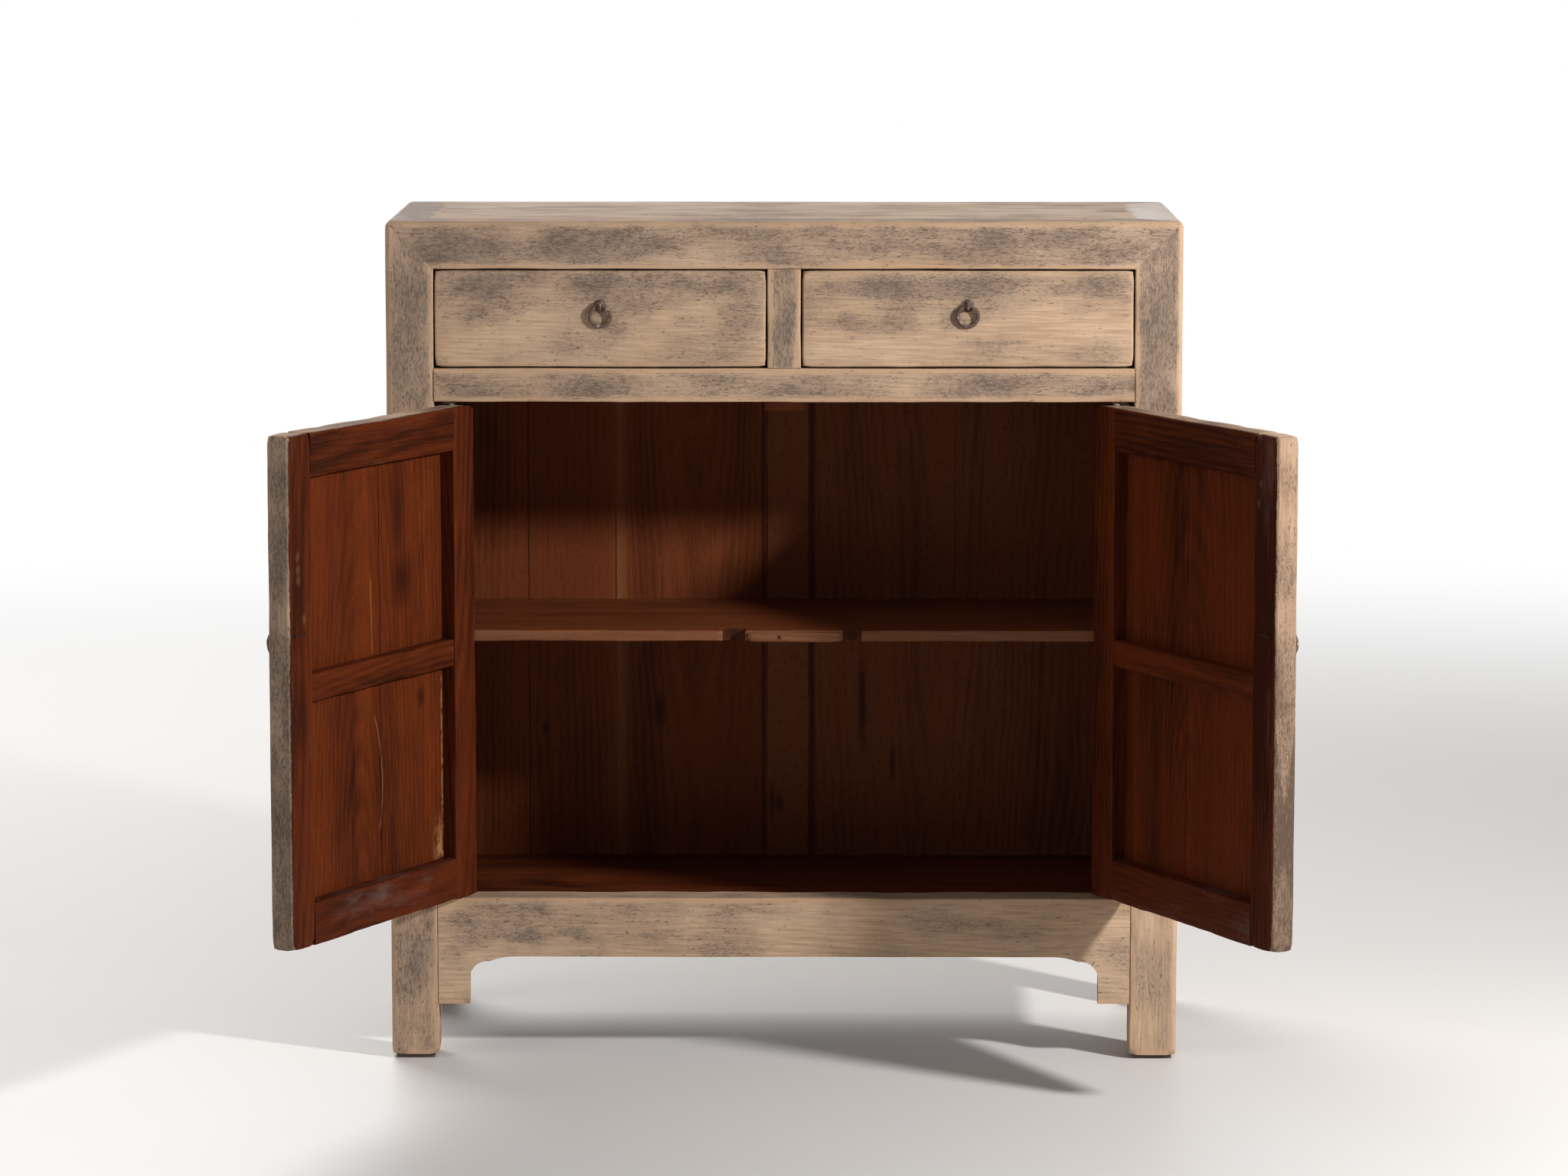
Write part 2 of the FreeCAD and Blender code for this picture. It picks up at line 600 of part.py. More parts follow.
def front_post():
    """Left front post, with mortises for the rails and a groove for the side panel."""
    body = new_piece("post_front_left")
    add(body, POST_X, FRONT_POST_Y, ("foot_pad_height", "height"))
    soften(body, "corner_round", {"x": "-outer_x", "y": "0"})
    soften(body, "arris", {"x": "-inner_x", "y": "0"}, {"x": "-outer_x", "y": "post"})
    mitre_post(body, back=False)
    for tenon in (DRAWER_RAIL_TENON, APRON_TENON, SIDE_RAIL_TENON, BEARER_TENON, RUNNER_TENON):
        fit_round(body, *tenon)
    fit_round(body, *SIDE_PANEL_TONGUE)
    return body


def back_post():
    """Left back post, with grooves for the side and back panels."""
    body = new_piece("post_back_left")
    add(body, POST_X, BACK_POST_Y, ("foot_pad_height", "height"))
    soften(body, "corner_round", {"x": "-outer_x", "y": "depth"})
    soften(body, "arris", {"x": "-outer_x", "y": "back_face"}, {"x": "-inner_x", "y": "depth"})
    mitre_post(body, back=True)
    fit_round(body, *BACK_RAIL_TENON)
    for tenon in (SIDE_RAIL_TENON, BEARER_TENON, RUNNER_TENON):
        fit_round(body, *at_end(tenon, back=True))
    fit_round(body, *SIDE_PANEL_TONGUE)
    fit_round(body, *LEFT_BACK_TONGUE)
    return body


def foot_pads():
    """The four pads that the posts stand on."""
    body = new_piece("foot_pads")
    margin = "(post - foot_pad) / 2"
    x = (f"-outer_x + {margin}", f"-inner_x - {margin}")
    y = (margin, f"post - {margin}")
    z = ("0", "foot_pad_height")
    for depth_span in (y, far(y)):
        for spans in both_sides((x, depth_span, z)):
            add(body, *spans)
    return body


def top_rail_front():
    """Front member of the top frame."""
    body = new_piece("top_rail_front")
    add(body, ("-outer_x", "outer_x"), FRONT_POST_Y, ("top_face", "height"))
    soften(body, "corner_round", {"y": "0", "z": "height"})
    soften(body, "arris", {"y": "0", "z": "top_face"})
    mitre_long_rail(body, back=False)
    fit_round(body, *DIVIDER_HEAD)
    fit_round(body, *TOP_TONGUE)
    cut_top_batten_sockets(body)
    return body


def top_rail_back():
    """Back member of the top frame, grooved for the back panels."""
    body = new_piece("top_rail_back")
    add(body, ("-outer_x", "outer_x"), BACK_POST_Y, ("top_face", "height"))
    soften(body, "corner_round", {"y": "depth", "z": "height"})
    soften(body, "arris", {"y": "depth", "z": "top_face"})
    mitre_long_rail(body, back=True)
    for slot in (STILE_HEAD, TOP_TONGUE, LEFT_BACK_TONGUE, RIGHT_BACK_TONGUE):
        fit_round(body, *slot)
    cut_top_batten_sockets(body)
    return body


def top_rail_side():
    """Left member of the top frame, grooved for the side panel."""
    body = new_piece("top_rail_left")
    add(body, POST_X, ("0", "depth"), ("top_face", "height"))
    soften(body, "corner_round", {"x": "-outer_x", "z": "height"})
    soften(body, "arris", {"x": "-outer_x", "z": "top_face"})
    mitre_side_rail(body)
    fit_round(body, *TOP_TONGUE)
    fit_round(body, *SIDE_PANEL_TONGUE)
    return body


def batten_outline(middle, half_width, base, face, grow="0"):
    """Section of a batten with its dovetail, from its base past the face of the boards."""
    neck = f"{half_width} - shoulder - dovetail_flare + {grow}"
    head = f"{half_width} - shoulder + {grow}"
    tip = f"{face} + dovetail_depth + {grow}"
    return (
        (f"{middle} - ({half_width})", base),
        (f"{middle} + {half_width}", base),
        (f"{middle} + {half_width}", face),
        (f"{middle} + {neck}", face),
        (f"{middle} + {head}", tip),
        (f"{middle} - ({head})", tip),
        (f"{middle} - ({neck})", face),
        (f"{middle} - ({half_width})", face),
    )


def dovetail_slot(middle, half_width, face):
    """Section of the slot that a batten's dovetail slides into."""
    neck = f"({half_width} - shoulder - dovetail_flare + joint_clearance)"
    head = f"({half_width} - shoulder + joint_clearance)"
    tip = f"{face} + dovetail_depth + joint_clearance"
    return (
        (f"{middle} - {neck}", face),
        (f"{middle} + {neck}", face),
        (f"{middle} + {head}", tip),
        (f"{middle} - {head}", tip),
    )


TOP_BATTEN_HALF = "top_batten_width / 2"
TOP_BATTEN_TENON_Z = (
    "top_board_low - top_batten_height + shoulder / 2", "top_board_low - shoulder / 2",
)


def top_batten_tenons():
    """The four boxes of the top battens' tenons."""
    x = (f"-top_batten_place - {TOP_BATTEN_HALF} + shoulder",
         f"-top_batten_place + {TOP_BATTEN_HALF} - shoulder")
    y = BEARER_TENON_Y
    return [spans for span in (y, far(y)) for spans in both_sides((x, span, TOP_BATTEN_TENON_Z))]


def cut_top_batten_sockets(body):
    """Mortise a long top rail for the battens."""
    front = body.Name == "top_rail_front"
    tenons = top_batten_tenons()
    for spans in tenons[:2] if front else tenons[2:]:
        fit_round(body, *spans)


def top_battens():
    """Two battens across the underside of the top boards."""
    body = new_piece("top_battens")
    for middle in ("-top_batten_place", "top_batten_place"):
        outline = batten_outline(
            middle, TOP_BATTEN_HALF, "top_board_low - top_batten_height", "top_board_low")
        prism(body, "Pad", "XZ", outline, ("post", "back_face"))
    for spans in top_batten_tenons():
        add(body, *spans)
    return body


def top_boards():
    """Two long boards, flush with the top frame and tongued into it."""
    body = new_piece("top_boards")
    add(body, RAIL_X, ("post", "back_face"), ("top_board_low", "height"))
    add(body, *TOP_TONGUE)
    for middle in ("-top_batten_place", "top_batten_place"):
        outline = dovetail_slot(middle, TOP_BATTEN_HALF, "top_board_low")
        prism(body, "Pocket", "XZ", outline, ("post - tongue_depth", "back_face + tongue_depth"))
    cut(body, ("-outer_x", "outer_x"), ("(depth - board_gap) / 2", "(depth + board_gap) / 2"),
        ("top_board_low - overrun", "height + overrun"))
    return body


def drawer_rail():
    """Rail between the doors and the drawers, with the sockets of the upper pivots."""
    body = new_piece("drawer_rail")
    add(body, RAIL_X, FRONT_RAIL_Y, ("door_head", "drawer_floor"))
    soften(body, "arris", {"y": "0", "z": "door_head"}, {"y": "0", "z": "drawer_floor"})
    for spans in both_sides(DRAWER_RAIL_TENON):
        add(body, *spans)
    fit_round(body, *DIVIDER_FOOT)
    fit_round(body, *CENTRE_FRONT_TENON)
    for x in ("-pivot_x", "pivot_x"):
        cylinder(body, "Subtractive", FreeCAD.Rotation(), (x, "pivot_depth", "door_head - overrun"),
                 "pivot_radius + pivot_clearance", "pivot_length + overrun")
    return body


def drawer_divider():
    """Upright between the two drawers."""
    body = new_piece("drawer_divider")
    add(body, ("-divider_width / 2", "divider_width / 2"), FRONT_RAIL_Y, ("drawer_floor", "top_face"))
    soften(body, "arris", {"x": "-divider_width / 2", "y": "0"}, {"x": "divider_width / 2", "y": "0"})
    add(body, *DIVIDER_FOOT)
    add(body, *DIVIDER_HEAD)
    return body


def side_runner():
    """Left runner and guide, between the front and back posts."""
    body = new_piece("runner_left")
    ends = ("post", "back_face")
    outside = "-side_panel_x + fit_gap"
    add(body, (outside, "-drawer_outer_x + drawer_side_thickness + runner_ledge"), ends,
        ("runner_low", "runner_top"))
    add(body, (outside, "-drawer_outer_x - fit_gap"), ends, ("runner_low", "guide_top"))
    add(body, *RUNNER_TENON)
    add(body, *at_end(RUNNER_TENON, back=True))
    return body


def centre_runner():
    """Runner and guide that both drawers share, from the drawer rail to the back stile."""
    body = new_piece("runner_centre")
    ends = ("rail_depth", "stile_face_y")
    flange = "(drawer_inner_x + drawer_side_thickness + runner_ledge)"
    web = "centre_runner_width / 2"
    guide = "(drawer_inner_x - fit_gap)"
    add(body, (f"-{web}", web), ends, ("door_head - centre_runner_drop", "runner_top"))
    add(body, (f"-{flange}", flange), ends, ("runner_low", "runner_top"))
    add(body, (f"-{guide}", guide), ends, ("runner_low", "guide_top"))
    add(body, *CENTRE_FRONT_TENON)
    add(body, *CENTRE_BACK_TENON)
    return body


def apron_outline():
    """Front outline of the bottom rail, its cusped apron and its two spandrels."""
    spandrel_radius, cusp_radius = (
        f"{chord} * {share}" for chord, share in APRON_RADIUS_SHARES.items())
    left = (
        ("-inner_x", "bottom_rail_top"),
        ("-inner_x", "spandrel_low"),
        ("-inner_x + spandrel_width", "spandrel_low"),
        ("-inner_x + spandrel_width", "spandrel_low + spandrel_edge", spandrel_radius),
        ("-inner_x + cusp_reach", "apron_low - cusp_drop", cusp_radius),
        ("-inner_x + curve_reach", "apron_low"),
    )
    right = (
        ("inner_x - curve_reach", "apron_low", cusp_radius),
        ("inner_x - cusp_reach", "apron_low - cusp_drop", spandrel_radius),
        ("inner_x - spandrel_width", "spandrel_low + spandrel_edge"),
        ("inner_x - spandrel_width", "spandrel_low"),
        ("inner_x", "spandrel_low"),
        ("inner_x", "bottom_rail_top"),
    )
    return left + right


def bottom_rail_front():
    """Sill, apron and spandrels in one, with the sockets of the lower pivots."""
    body = new_piece("bottom_rail_front")
    prism(body, "Pad", "XZ", apron_outline(), ("0", "apron_thickness"))
    add(body, RAIL_X, ("0", "rail_depth"), ("apron_rail_low", "bottom_rail_top"))
    soften(body, "arris", {"y": "0", "z": "bottom_rail_top"})
    for spans in both_sides(APRON_TENON):
        add(body, *spans)
    fit_round(body, *FLOOR_TONGUE)
    for x in ("-pivot_x", "pivot_x"):
        cylinder(body, "Subtractive", FreeCAD.Rotation(),
                 (x, "pivot_depth", "bottom_rail_top - pivot_length"),
                 "pivot_radius + pivot_clearance", "pivot_length + overrun")
    return body


def bottom_rail_back():
    """Back rail under the floor boards, grooved for the back panels."""
    body = new_piece("bottom_rail_back")
    add(body, RAIL_X, BACK_RAIL_Y, ("low_rail_bottom", "floor_under"))
    for spans in both_sides(BACK_RAIL_TENON):
        add(body, *spans)
    for slot in (STILE_FOOT, LEFT_BACK_TONGUE, RIGHT_BACK_TONGUE):
        fit_round(body, *slot)
    return body


def bottom_rail_side():
    """Left rail under the floor boards, grooved for the side panel."""
    body = new_piece("bottom_rail_left")
    add(body, ("-inner_x - rail_depth", "-inner_x"), ("post", "back_face"),
        ("low_rail_bottom", "floor_under"))
    soften(body, "arris", {"x": "-inner_x - rail_depth", "z": "floor_under"},
           {"x": "-inner_x - rail_depth", "z": "low_rail_bottom"})
    add(body, *SIDE_RAIL_TENON)
    add(body, *at_end(SIDE_RAIL_TENON, back=True))
    fit_round(body, *SIDE_PANEL_TONGUE)
    return body


def fit_posts(body):
    """Notch a board round the four posts."""
    for post in (LEFT_FRONT_POST, LEFT_BACK_POST):
        for spans in both_sides(post):
            fit_round(body, *spans)


def floor_boards():
    """Boards laid on the low rails and tongued into the sill."""
    body = new_piece("floor_boards")
    x = ("-side_panel_x + fit_gap", "side_panel_x - fit_gap")
    y = ("rail_depth", "stile_face_y - fit_gap")
    z = ("floor_under", "floor_top")
    add(body, x, y, z)
    fit_posts(body)
    add(body, *FLOOR_TONGUE)
    for number in range(1, FLOOR_BOARD_COUNT):
        middle = f"rail_depth + (stile_face_y - rail_depth) * {number} / {FLOOR_BOARD_COUNT}"
        cut(body, ("-outer_x", "outer_x"), (f"{middle} - board_gap / 2", f"{middle} + board_gap / 2"),
            ("floor_under - overrun", "floor_top + overrun"))
    return body


def back_stile():
    """Upright in the middle of the back, grooved for both back panels."""
    body = new_piece("back_stile")
    add(body, ("stile_left", "stile_right"), ("stile_face_y", "stile_face_y + back_stile_thickness"),
        ("floor_under", "top_face"))
    soften(body, "arris", {"x": "stile_left", "y": "stile_face_y"},
           {"x": "stile_right", "y": "stile_face_y"})
    add(body, *STILE_FOOT)
    add(body, *STILE_HEAD)
    for slot in (LEFT_BACK_TONGUE, RIGHT_BACK_TONGUE, CENTRE_BACK_TENON):
        fit_round(body, *slot)
    return body


def back_panel(name, x, tongue, seam):
    """One of the two back panels, with the joint of its boards."""
    body = new_piece(name)
    add(body, x, ("back_panel_y", "back_panel_y + panel_thickness"), ("floor_under", "top_face"))
    add(body, *tongue)
    cut(body, (f"{seam} - seam_width / 2", f"{seam} + seam_width / 2"),
        ("back_panel_y - overrun", "back_panel_y + seam_depth"),
        ("floor_under - overrun", "top_face + overrun"))
    return body


def side_panel():
    """Left side panel, tongued into the posts and the side rails."""
    body = new_piece("side_panel_left")
    add(body, ("-side_panel_x - panel_thickness", "-side_panel_x"), ("post", "back_face"),
        ("floor_under", "top_face"))
    add(body, *SIDE_PANEL_TONGUE)
    cut(body, ("-side_panel_x - panel_thickness - overrun",
               "-side_panel_x - panel_thickness + seam_depth"),
        ("post + side_seam - seam_width / 2", "post + side_seam + seam_width / 2"),
        ("floor_under - overrun", "top_face + overrun"))
    return body


def shelf():
    """Shelf board, notched round the posts and twice in its front edge."""
    body = new_piece("shelf")
    add(body, ("-side_panel_x + fit_gap", "side_panel_x - fit_gap"),
        ("shelf_front", "stile_face_y - fit_gap"), ("shelf_low", "shelf_top"))
    soften(body, "arris", {"y": "shelf_front", "z": "shelf_low"}, {"y": "shelf_front", "z": "shelf_top"})
    fit_posts(body)
    notch_y = ("shelf_front - overrun", "shelf_front + notch_depth")
    notch_z = ("shelf_low - overrun", "shelf_top + overrun")
    cut(body, ("-left_notch_outer", "-left_notch_inner"), notch_y, notch_z)
    cut(body, ("right_notch_inner", "right_notch_outer"), notch_y, notch_z)
    return body


def door_stop():
    """Block on the edge of the shelf between its notches, which the closed doors meet."""
    body = new_piece("door_stop")
    top = "shelf_top - stop_lowered"
    add(body, ("-left_notch_inner", "right_notch_inner"), ("shelf_front - stop_proud", "shelf_front"),
        (f"{top} - stop_height", top))
    soften(body, "arris", {"y": "shelf_front - stop_proud", "z": top},
           {"y": "shelf_front - stop_proud", "z": f"{top} - stop_height"})
    return body


def shelf_bearers():
    """A bearer between the posts on each side, under the ends of the shelf."""
    body = new_piece("shelf_bearers")
    bearer = (
        ("-side_panel_x + fit_gap", "-bearer_inner_x"), ("post", "back_face"),
        ("shelf_low - bearer_height", "shelf_low"),
    )
    for piece in (bearer, BEARER_TENON, at_end(BEARER_TENON, back=True)):
        for spans in both_sides(piece):
            add(body, *spans)
    return body


TURN_TO_X = FreeCAD.Rotation(FreeCAD.Vector(0, 1, 0), 90)
TURN_TO_Y = FreeCAD.Rotation(FreeCAD.Vector(1, 0, 0), -90)
TURN_TO_FRONT = FreeCAD.Rotation(FreeCAD.Vector(1, 0, 0), 90)


def drill_for_pull(body, x, face, z, thickness):
    """Drill a piece of wood for the shank of an eye."""
    cylinder(body, "Subtractive", TURN_TO_Y, (x, f"{face} - overrun", z),
             "shank_radius + joint_clearance", f"{thickness} + 2 * overrun")


def pull_eye(body, x, face, z, thickness):
    """Wire eye on a round plate, its shank driven through the wood and its legs bent flat."""
    middle = f"{face} - eye_standoff"
    torus(body, TURN_TO_X, (x, middle, z), "eye_radius", "eye_wire")
    cylinder(body, "Additive", TURN_TO_Y, (x, f"{middle} + eye_radius", z), "shank_radius",
             f"eye_standoff - eye_radius + {thickness} + leg_thickness")
    cylinder(body, "Additive", TURN_TO_Y, (x, f"{face} - plate_thickness", z), "plate_radius",
             "plate_thickness")
    add(body, (f"{x} - leg_length", f"{x} + leg_length"),
        (f"{face} + {thickness}", f"{face} + {thickness} + leg_thickness"),
        (f"{z} - leg_width / 2", f"{z} + leg_width / 2"))
    return body


def pull_ring(body, x, face, z):
    """Ring that hangs in an eye and leans on the wood."""
    middle = (x, f"{face} - eye_standoff + ring_drop_y", f"{z} - ring_drop_z")
    ring = torus(body, TURN_TO_FRONT, middle, "ring_radius", "ring_wire")
    bind(ring, {"Placement.Rotation.Angle": "ring_turn"})
    return body


DRAWER_X = ("-drawer_outer_x", "-drawer_inner_x")
DRAWER_INSIDE_X = ("-drawer_outer_x + drawer_side_thickness", "-drawer_inner_x - drawer_side_thickness")
DRAWER_BOTTOM = (
    ("-drawer_outer_x + drawer_side_thickness - drawer_groove",
     "-drawer_inner_x - drawer_side_thickness + drawer_groove"),
    ("drawer_front_thickness - drawer_groove", "drawer_length"),
    ("bottom_low", "bottom_high"),
)
DRAWER_BACK_TONGUE = (
    DRAWER_BOTTOM[0],
    ("drawer_length - 2 * drawer_side_thickness", "drawer_length - drawer_side_thickness"),
    ("bottom_high + joint_clearance", "side_high"),
)


def tail_outline(number, grow="0"):
    """Outline of one dovetail at the drawer front, seen from the side."""
    pitch = f"((side_high - drawer_low) / {TAIL_COUNT})"
    middle = f"drawer_low + {pitch} * ({number} + 1 / 2)"
    root, tip = "drawer_front_thickness", "drawer_front_thickness - tail_length"
    half_root, half_tip = (f"({pitch} * {share} / 2 + {grow})" for share in TAIL_SHARES.values())
    return (
        (root, f"{middle} - {half_root}"),
        (root, f"{middle} + {half_root}"),
        (f"{tip} - {grow}", f"{middle} + {half_tip}"),
        (f"{tip} - {grow}", f"{middle} - {half_tip}"),
    )


def drawer_front():
    """Left drawer front, with half-blind sockets for the sides' dovetails."""
    body = new_piece("drawer_front_left")
    y = ("0", "drawer_front_thickness")
    add(body, DRAWER_X, y, ("drawer_low", "drawer_high"))
    soften(body, "drawer_round",
           {"y": "0", "z": "drawer_low"}, {"y": "0", "z": "drawer_high"},
           {"y": "0", "x": "-drawer_outer_x"}, {"y": "0", "x": "-drawer_inner_x"})
    sides = (
        ("-drawer_outer_x - overrun", "-drawer_outer_x + drawer_side_thickness"),
        ("-drawer_inner_x - drawer_side_thickness", "-drawer_inner_x + overrun"),
    )
    for span in sides:
        for number in range(TAIL_COUNT):
            prism(body, "Pocket", "YZ", tail_outline(number, "joint_clearance"), span)
    fit_round(body, *DRAWER_BOTTOM)
    drill_for_pull(body, "-drawer_middle", "0", "drawer_pull_height", "drawer_front_thickness")
    return body


def drawer_side(name, span):
    """One side of the left drawer, with dovetails for the front and a groove for the bottom."""
    body = new_piece(name)
    add(body, span, ("drawer_front_thickness", "drawer_length"), ("drawer_low", "side_high"))
    for number in range(TAIL_COUNT):
        prism(body, "Pad", "YZ", tail_outline(number), span)
    fit_round(body, *DRAWER_BOTTOM)
    fit_round(body, *DRAWER_BACK_TONGUE)
    return body


def drawer_back():
    """Back of the left drawer, tongued into its sides and resting on its bottom."""
    body = new_piece("drawer_back_left")
    add(body, *DRAWER_BACK_TONGUE)
    return body


def drawer_bottom():
    """Bottom of the left drawer, slid in from the back."""
    body = new_piece("drawer_bottom_left")
    add(body, *DRAWER_BOTTOM)
    return body


DOOR_FIELD_X = ("hinge_stile_in", "lock_stile_in")
DOOR_FIELD_Z = ("door_panel_low", "door_panel_high")
DOOR_Y = ("face_out", "face_in")
DOOR_TONGUE = (
    ("hinge_stile_in - tongue_depth", "lock_stile_in + tongue_depth"),
    ("door_panel_in - tongue_thickness", "door_panel_in"),
    ("door_panel_low - tongue_depth", "door_panel_high + tongue_depth"),
)
DOOR_TENON_Y = ("door_tenon_out", "door_tenon_in")
DOOR_TENON_X = ("hinge_stile_in - door_tenon_length", "lock_stile_in + door_tenon_length")
DOOR_TOP_TENON = (DOOR_TENON_X, DOOR_TENON_Y, ("door_panel_high + shoulder", "door_high - shoulder"))
DOOR_LOW_TENON = (DOOR_TENON_X, DOOR_TENON_Y, ("door_low + shoulder", "door_panel_low - shoulder"))
DOOR_BATTEN_TENON = (
    ("hinge_stile_in - batten_tenon_length", "lock_stile_in + batten_tenon_length"),
    DOOR_TENON_Y,
    ("batten_low + shoulder", "batten_high - shoulder"),
)
BATTEN_MIDDLE = "(batten_low + batten_height / 2)"
BATTEN_HALF = "batten_height / 2"


def turned(section):
    """Turn a section drawn upwards so that it points out of the door."""
    return [(f"-({rise})", across) for across, rise in section]


def joint_door_stile(body):
    """Mortise and groove a door stile."""
    for slot in (DOOR_TOP_TENON, DOOR_LOW_TENON, DOOR_BATTEN_TENON, DOOR_TONGUE):
        fit_round(body, *slot)


def hinge_stile():
    """Stile on the pivot side, its edge rounded to turn past the post, its pins in one with it."""
    body = new_door_piece("door_hinge_stile_left")
    add(body, ("hinge_edge", "hinge_stile_in"), DOOR_Y, ("door_low", "door_high"))
    soften(body, "hinge_round", {"x": "hinge_edge", "y": "face_out"})
    soften(body, "arris", {"x": "hinge_edge", "y": "face_in"}, {"x": "hinge_stile_in", "y": "face_in"})
    joint_door_stile(body)
    reach = "pivot_length - fit_gap"
    upright = FreeCAD.Rotation()
    cylinder(body, "Additive", upright, ("0", "0", "door_high - pivot_length"), "pivot_radius",
             f"pivot_length + door_top_gap + {reach}")
    cylinder(body, "Additive", upright, ("0", "0", f"bottom_rail_top - ({reach})"), "pivot_radius",
             f"pivot_length + door_low_gap + {reach}")
    return body


def lock_stile():
    """Stile on the free side, drilled for the pull."""
    body = new_door_piece("door_lock_stile_left")
    add(body, ("lock_stile_in", "free_edge"), DOOR_Y, ("door_low", "door_high"))
    soften(body, "free_round", {"x": "free_edge", "y": "face_out"}, {"x": "free_edge", "y": "face_in"})
    soften(body, "arris", {"x": "lock_stile_in", "y": "face_in"})
    joint_door_stile(body)
    drill_for_pull(body, "door_pull_x", "face_out", "door_pull_height", "door_thickness")
    return body


def door_rail(name, z, tenon, inner_edge):
    """Top or bottom rail of the left door."""
    body = new_door_piece(name)
    add(body, DOOR_FIELD_X, DOOR_Y, z)
    soften(body, "arris", {"y": "face_in", "z": inner_edge})
    add(body, *tenon)
    fit_round(body, *DOOR_TONGUE)
    return body


def door_batten():
    """Batten across the inside of the door panel, dovetailed into it."""
    body = new_door_piece("door_batten_left")
    section = batten_outline(
        BATTEN_MIDDLE, BATTEN_HALF, "-(face_in - batten_lowered)", "-door_panel_in")
    prism(body, "Pad", "YZ", turned(section), DOOR_FIELD_X)
    soften(body, "arris", {"y": "face_in - batten_lowered", "z": "batten_low"},
           {"y": "face_in - batten_lowered", "z": "batten_high"})
    add(body, *DOOR_BATTEN_TENON)
    return body


def door_panel():
    """Panel of the left door, flush outside and tongued into its frame."""
    body = new_door_piece("door_panel_left")
    add(body, DOOR_FIELD_X, ("face_out", "door_panel_in"), DOOR_FIELD_Z)
    add(body, *DOOR_TONGUE)
    prism(body, "Pocket", "YZ", turned(dovetail_slot(BATTEN_MIDDLE, BATTEN_HALF, "-door_panel_in")),
          ("hinge_stile_in - tongue_depth - overrun", "lock_stile_in + tongue_depth + overrun"))
    seam = "hinge_stile_in + door_seam"
    cut(body, (f"{seam} - seam_width / 2", f"{seam} + seam_width / 2"),
        ("door_panel_in - seam_depth", "door_panel_in + overrun"),
        ("door_panel_low - tongue_depth - overrun", "door_panel_high + tongue_depth + overrun"))
    return body


def left_and_right(left):
    """A left-hand sub-part and its right-hand twin."""
    return [left, mirrored(left, left.Label.replace("left", "right"))]


def build_carcass():
    """Everything that stands still."""
    pieces = [
        foot_pads(), top_rail_front(), top_rail_back(), top_battens(), top_boards(),
        drawer_rail(), drawer_divider(), centre_runner(), bottom_rail_front(), bottom_rail_back(),
        floor_boards(), back_stile(), shelf(), door_stop(), shelf_bearers(),
        back_panel("back_panel_left", ("-inner_x", "stile_left"), LEFT_BACK_TONGUE, "-back_seam"),
        back_panel("back_panel_right", ("stile_right", "inner_x"), RIGHT_BACK_TONGUE, "back_seam"),
    ]
    for make in (front_post, back_post, top_rail_side, side_runner, bottom_rail_side, side_panel):
        pieces += left_and_right(make())
    return pieces


def build_drawers():
    """Both drawers with their pulls."""
    outer = ("-drawer_outer_x", "-drawer_outer_x + drawer_side_thickness")
    inner = ("-drawer_inner_x - drawer_side_thickness", "-drawer_inner_x")
    place = ("-drawer_middle", "0", "drawer_pull_height")
    left = [
        drawer_front(), drawer_side("drawer_outer_side_left", outer),
        drawer_side("drawer_inner_side_left", inner), drawer_back(), drawer_bottom(),
        pull_eye(new_piece("drawer_pull_eye_left"), *place, "drawer_front_thickness"),
        pull_ring(new_piece("drawer_pull_ring_left"), *place),
    ]
    return [piece for item in left for piece in left_and_right(item)]


def build_doors():
    """Both doors with their pulls."""
    place = ("door_pull_x", "face_out", "door_pull_height")
    left = [
        hinge_stile(), lock_stile(),
        door_rail("door_top_rail_left", ("door_panel_high", "door_high"), DOOR_TOP_TENON,
                  "door_panel_high"),
        door_rail("door_bottom_rail_left", ("door_low", "door_panel_low"), DOOR_LOW_TENON,
                  "door_panel_low"),
        door_batten(), door_panel(),
        pull_eye(new_door_piece("door_pull_eye_left"), *place, "door_thickness"),
        pull_ring(new_door_piece("door_pull_ring_left"), *place),
    ]
    return [piece for item in left for piece in left_and_right(item)]


def check(pieces):
    """Stop if any object failed or any sub-part isn't sound."""
    for item in DOC.Objects:
        if "Invalid" in item.State or "Error" in item.State:
            raise RuntimeError(f"{item.Name} failed: {item.State}")
    for piece in pieces:
        if piece.Shape.isNull() or not piece.Shape.isValid() or not piece.Shape.Solids:
            raise RuntimeError(f"{piece.Label} isn't a sound solid")


def export(pieces):
    """Write each sub-part to its own file."""
    os.makedirs("parts", exist_ok=True)
    for piece in pieces:
        piece.Shape.exportStep(f"parts/{piece.Label}.step")
        solids = piece.Shape.Solids
        print(f"{piece.Label}: {len(solids)} solid(s), {piece.Shape.Volume / 1000:.1f} cm3")
    print(len(pieces), "sub-parts")


def main():
    """Build, check and export the cabinet."""
    fill_sheet("size", SIZES)
    fill_sheet("place", PLACES)
    pieces = build_carcass() + build_drawers() + build_doors()
    DOC.recompute()
    check(pieces)
    export(pieces)


main()
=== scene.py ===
import bmesh
import bpy
import json
import math
from bpy.props import FloatProperty, FloatVectorProperty, IntProperty, PointerProperty
from mathutils import Matrix, Vector, noise

